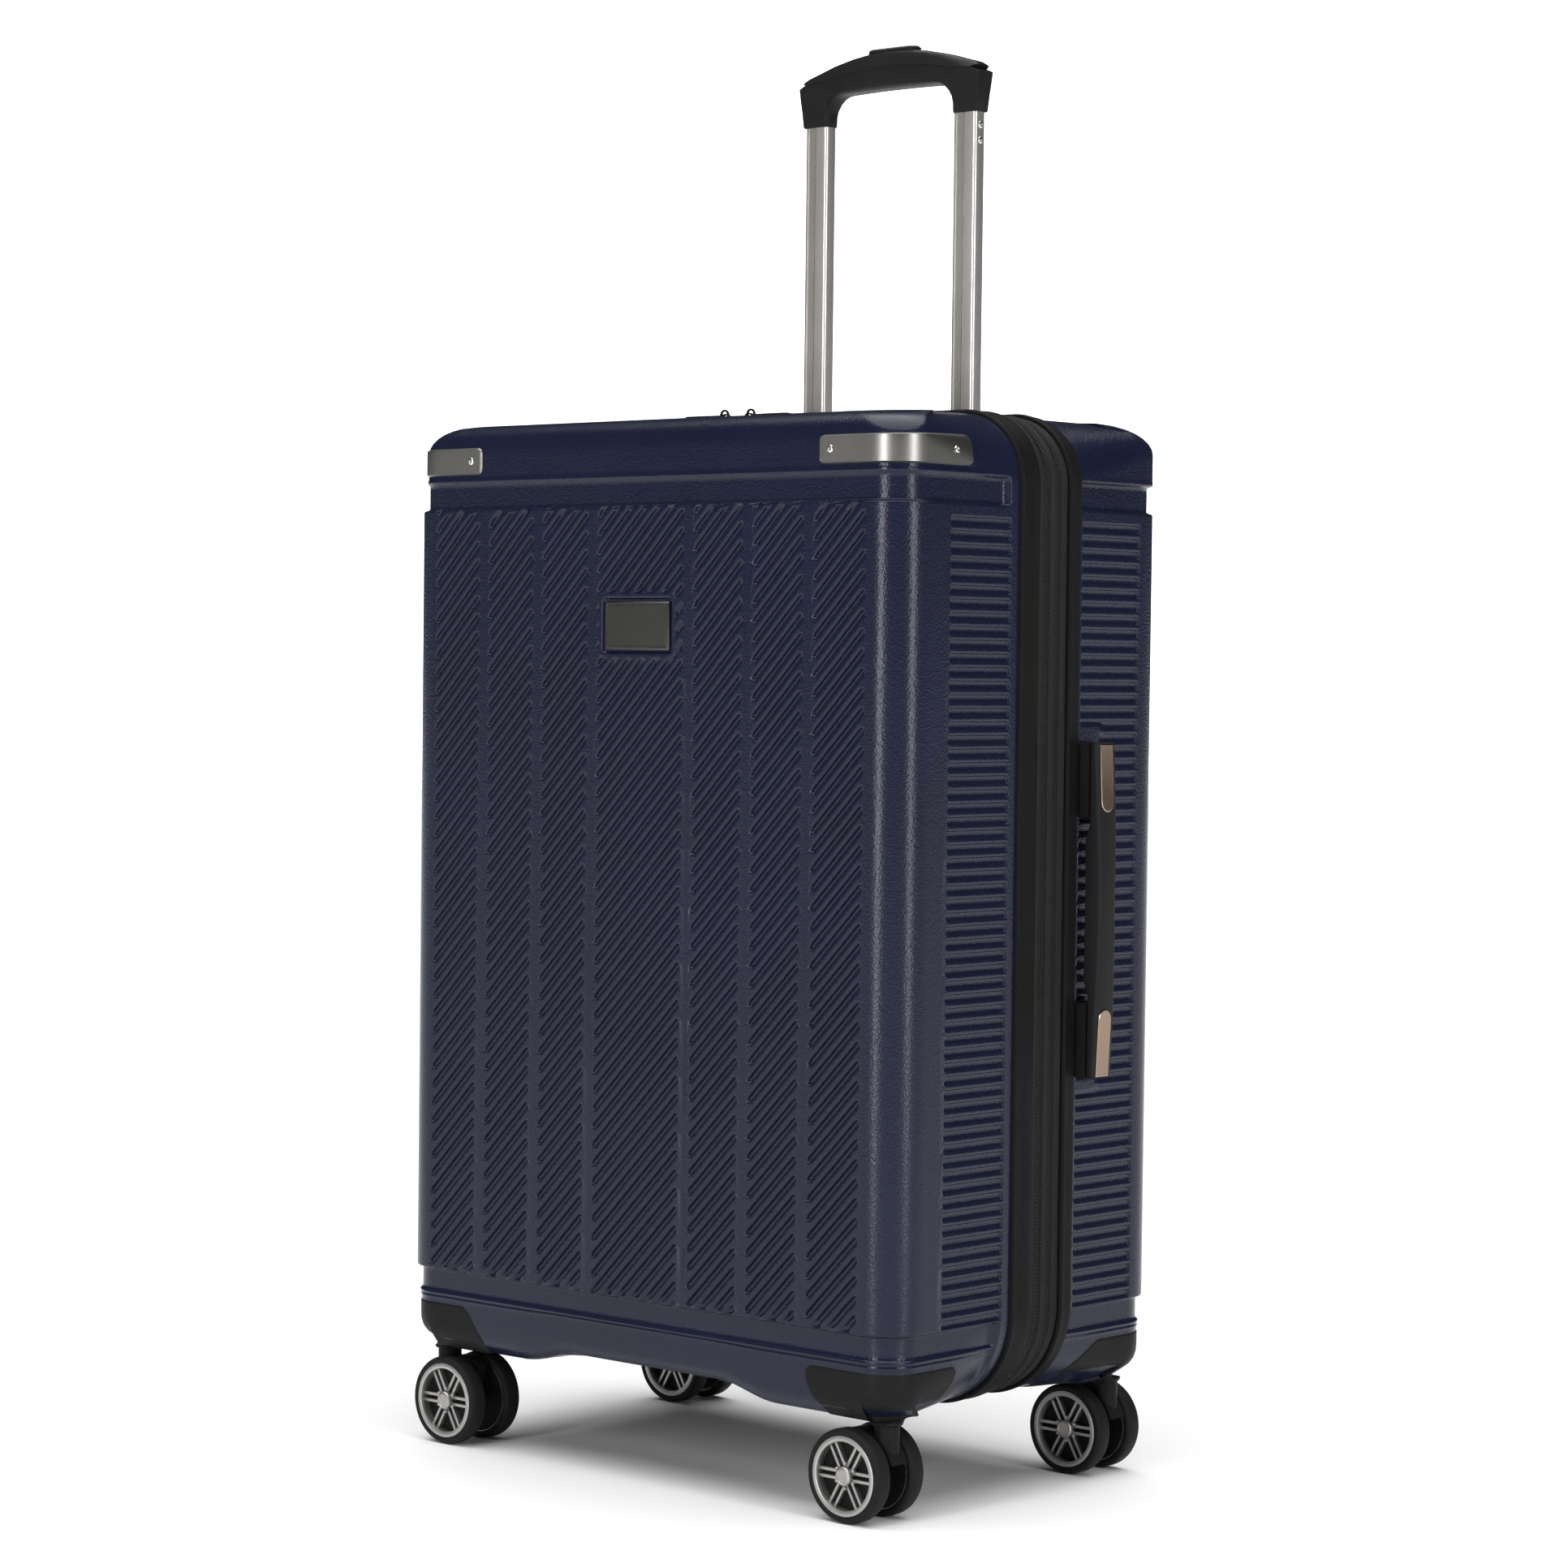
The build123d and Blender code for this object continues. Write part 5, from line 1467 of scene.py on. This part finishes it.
def make_camera():
    """The camera, aimed by its azimuth and pitch and turned by its roll."""
    camera = add_object("camera", bpy.data.cameras.new("camera"))
    level = math.cos(PITCH)
    ahead = Vector((-math.sin(AZIMUTH) * level, math.cos(AZIMUTH) * level, -math.sin(PITCH)))
    right = ahead.cross(Vector((0, 0, 1))).normalized()
    up = right.cross(ahead)
    right, up = (right * math.cos(ROLL) + up * math.sin(ROLL), up * math.cos(ROLL) - right * math.sin(ROLL))
    camera.matrix_world = Matrix.Translation(CAMERA_AT) @ Matrix((right, up, -ahead)).transposed().to_4x4()
    camera.data.lens = FOCAL_MM
    camera.data.sensor_width = 36.0
    camera.data.clip_end = 50.0
    bpy.context.scene.camera = camera


def area_light(name, place, aim, size, power):
    """A rectangular soft box that the camera doesn't see."""
    light = bpy.data.lights.new(name, "AREA")
    light.shape = "RECTANGLE"
    light.size, light.size_y = size
    light.energy = power
    thing = add_object(name, light)
    thing.location = place
    thing.rotation_mode = "QUATERNION"
    thing.rotation_quaternion = (Vector(aim) - Vector(place)).to_track_quat("-Z", "Y")
    thing.visible_camera = False


def make_floor():
    """A large pale floor that sweeps into the pale surroundings."""
    span = 30.0
    mesh = bpy.data.meshes.new("floor")
    corners = [(-span, -span, 0), (span, -span, 0), (span, span, 0), (-span, span, 0)]
    mesh.from_pydata(corners, [], [(0, 1, 2, 3)])
    floor = add_object("floor", mesh)
    g = Graph("pale_floor", (0.93, 0.93, 0.935), 0.45, specular=0.3)
    g.tint(g.noise(1.5, 2.0), 0.995, 1.005)
    mesh.materials.append(g.material)


def make_backdrop():
    """A white wall far round the object, which lights nothing."""
    radius, sides = 14.0, 48
    ring = [(radius * math.cos(2 * math.pi * i / sides), radius * math.sin(2 * math.pi * i / sides))
            for i in range(sides)]
    points = [(x, y, z) for z in (-0.5, radius) for x, y in ring] + [(0, 0, radius)]
    faces = [(i, (i + 1) % sides, sides + (i + 1) % sides, sides + i) for i in range(sides)]
    faces += [(sides + i, sides + (i + 1) % sides, 2 * sides) for i in range(sides)]
    mesh = bpy.data.meshes.new("backdrop")
    mesh.from_pydata(points, [], faces)
    backdrop = add_object("backdrop", mesh)
    g = Graph("backdrop_white", (1.0, 1.0, 1.0), 1.0, specular=0.0)
    g.shader.inputs["Emission Color"].default_value = (1.0, 1.0, 1.0, 1.0)
    g.shader.inputs["Emission Strength"].default_value = 1.0
    mesh.materials.append(g.material)
    backdrop.visible_diffuse = False
    backdrop.visible_glossy = False
    backdrop.visible_transmission = False
    backdrop.visible_shadow = False


def make_world():
    """A faint even light from all round."""
    world = bpy.data.worlds.new("surroundings")
    world.use_nodes = True
    background = world.node_tree.nodes["Background"]
    background.inputs["Color"].default_value = (1.0, 1.0, 1.0, 1)
    background.inputs["Strength"].default_value = 0.04
    bpy.context.scene.world = world


def sun_light(name, direction, angle, strength):
    """A broad distant light."""
    light = bpy.data.lights.new(name, "SUN")
    light.angle = math.radians(angle)
    light.energy = strength
    thing = add_object(name, light)
    thing.rotation_mode = "QUATERNION"
    thing.rotation_quaternion = Vector(direction).to_track_quat("-Z", "Y")


def strip(name, azimuth, distance, height, size, power):
    """A soft box at an azimuth round the object; 0 is straight in front of the patterned panel."""
    a = math.radians(azimuth)
    area_light(name, (distance * math.sin(a), -distance * math.cos(a), height), LIGHT_AIM, size, power)


make_camera()
make_floor()
make_backdrop()
make_world()
bpy.context.scene.view_settings.view_transform = "Standard"
sun_light("overhead", (0, 0, -1), 80, 4.3)
strip("strip_right", 84, 2.8, 1.0, (0.5, 2.0), 32)
strip("strip_front", 4, 2.8, 1.0, (0.5, 2.0), 40)
strip("fill_left", -45, 3.2, 1.2, (2.6, 2.4), 1.5)
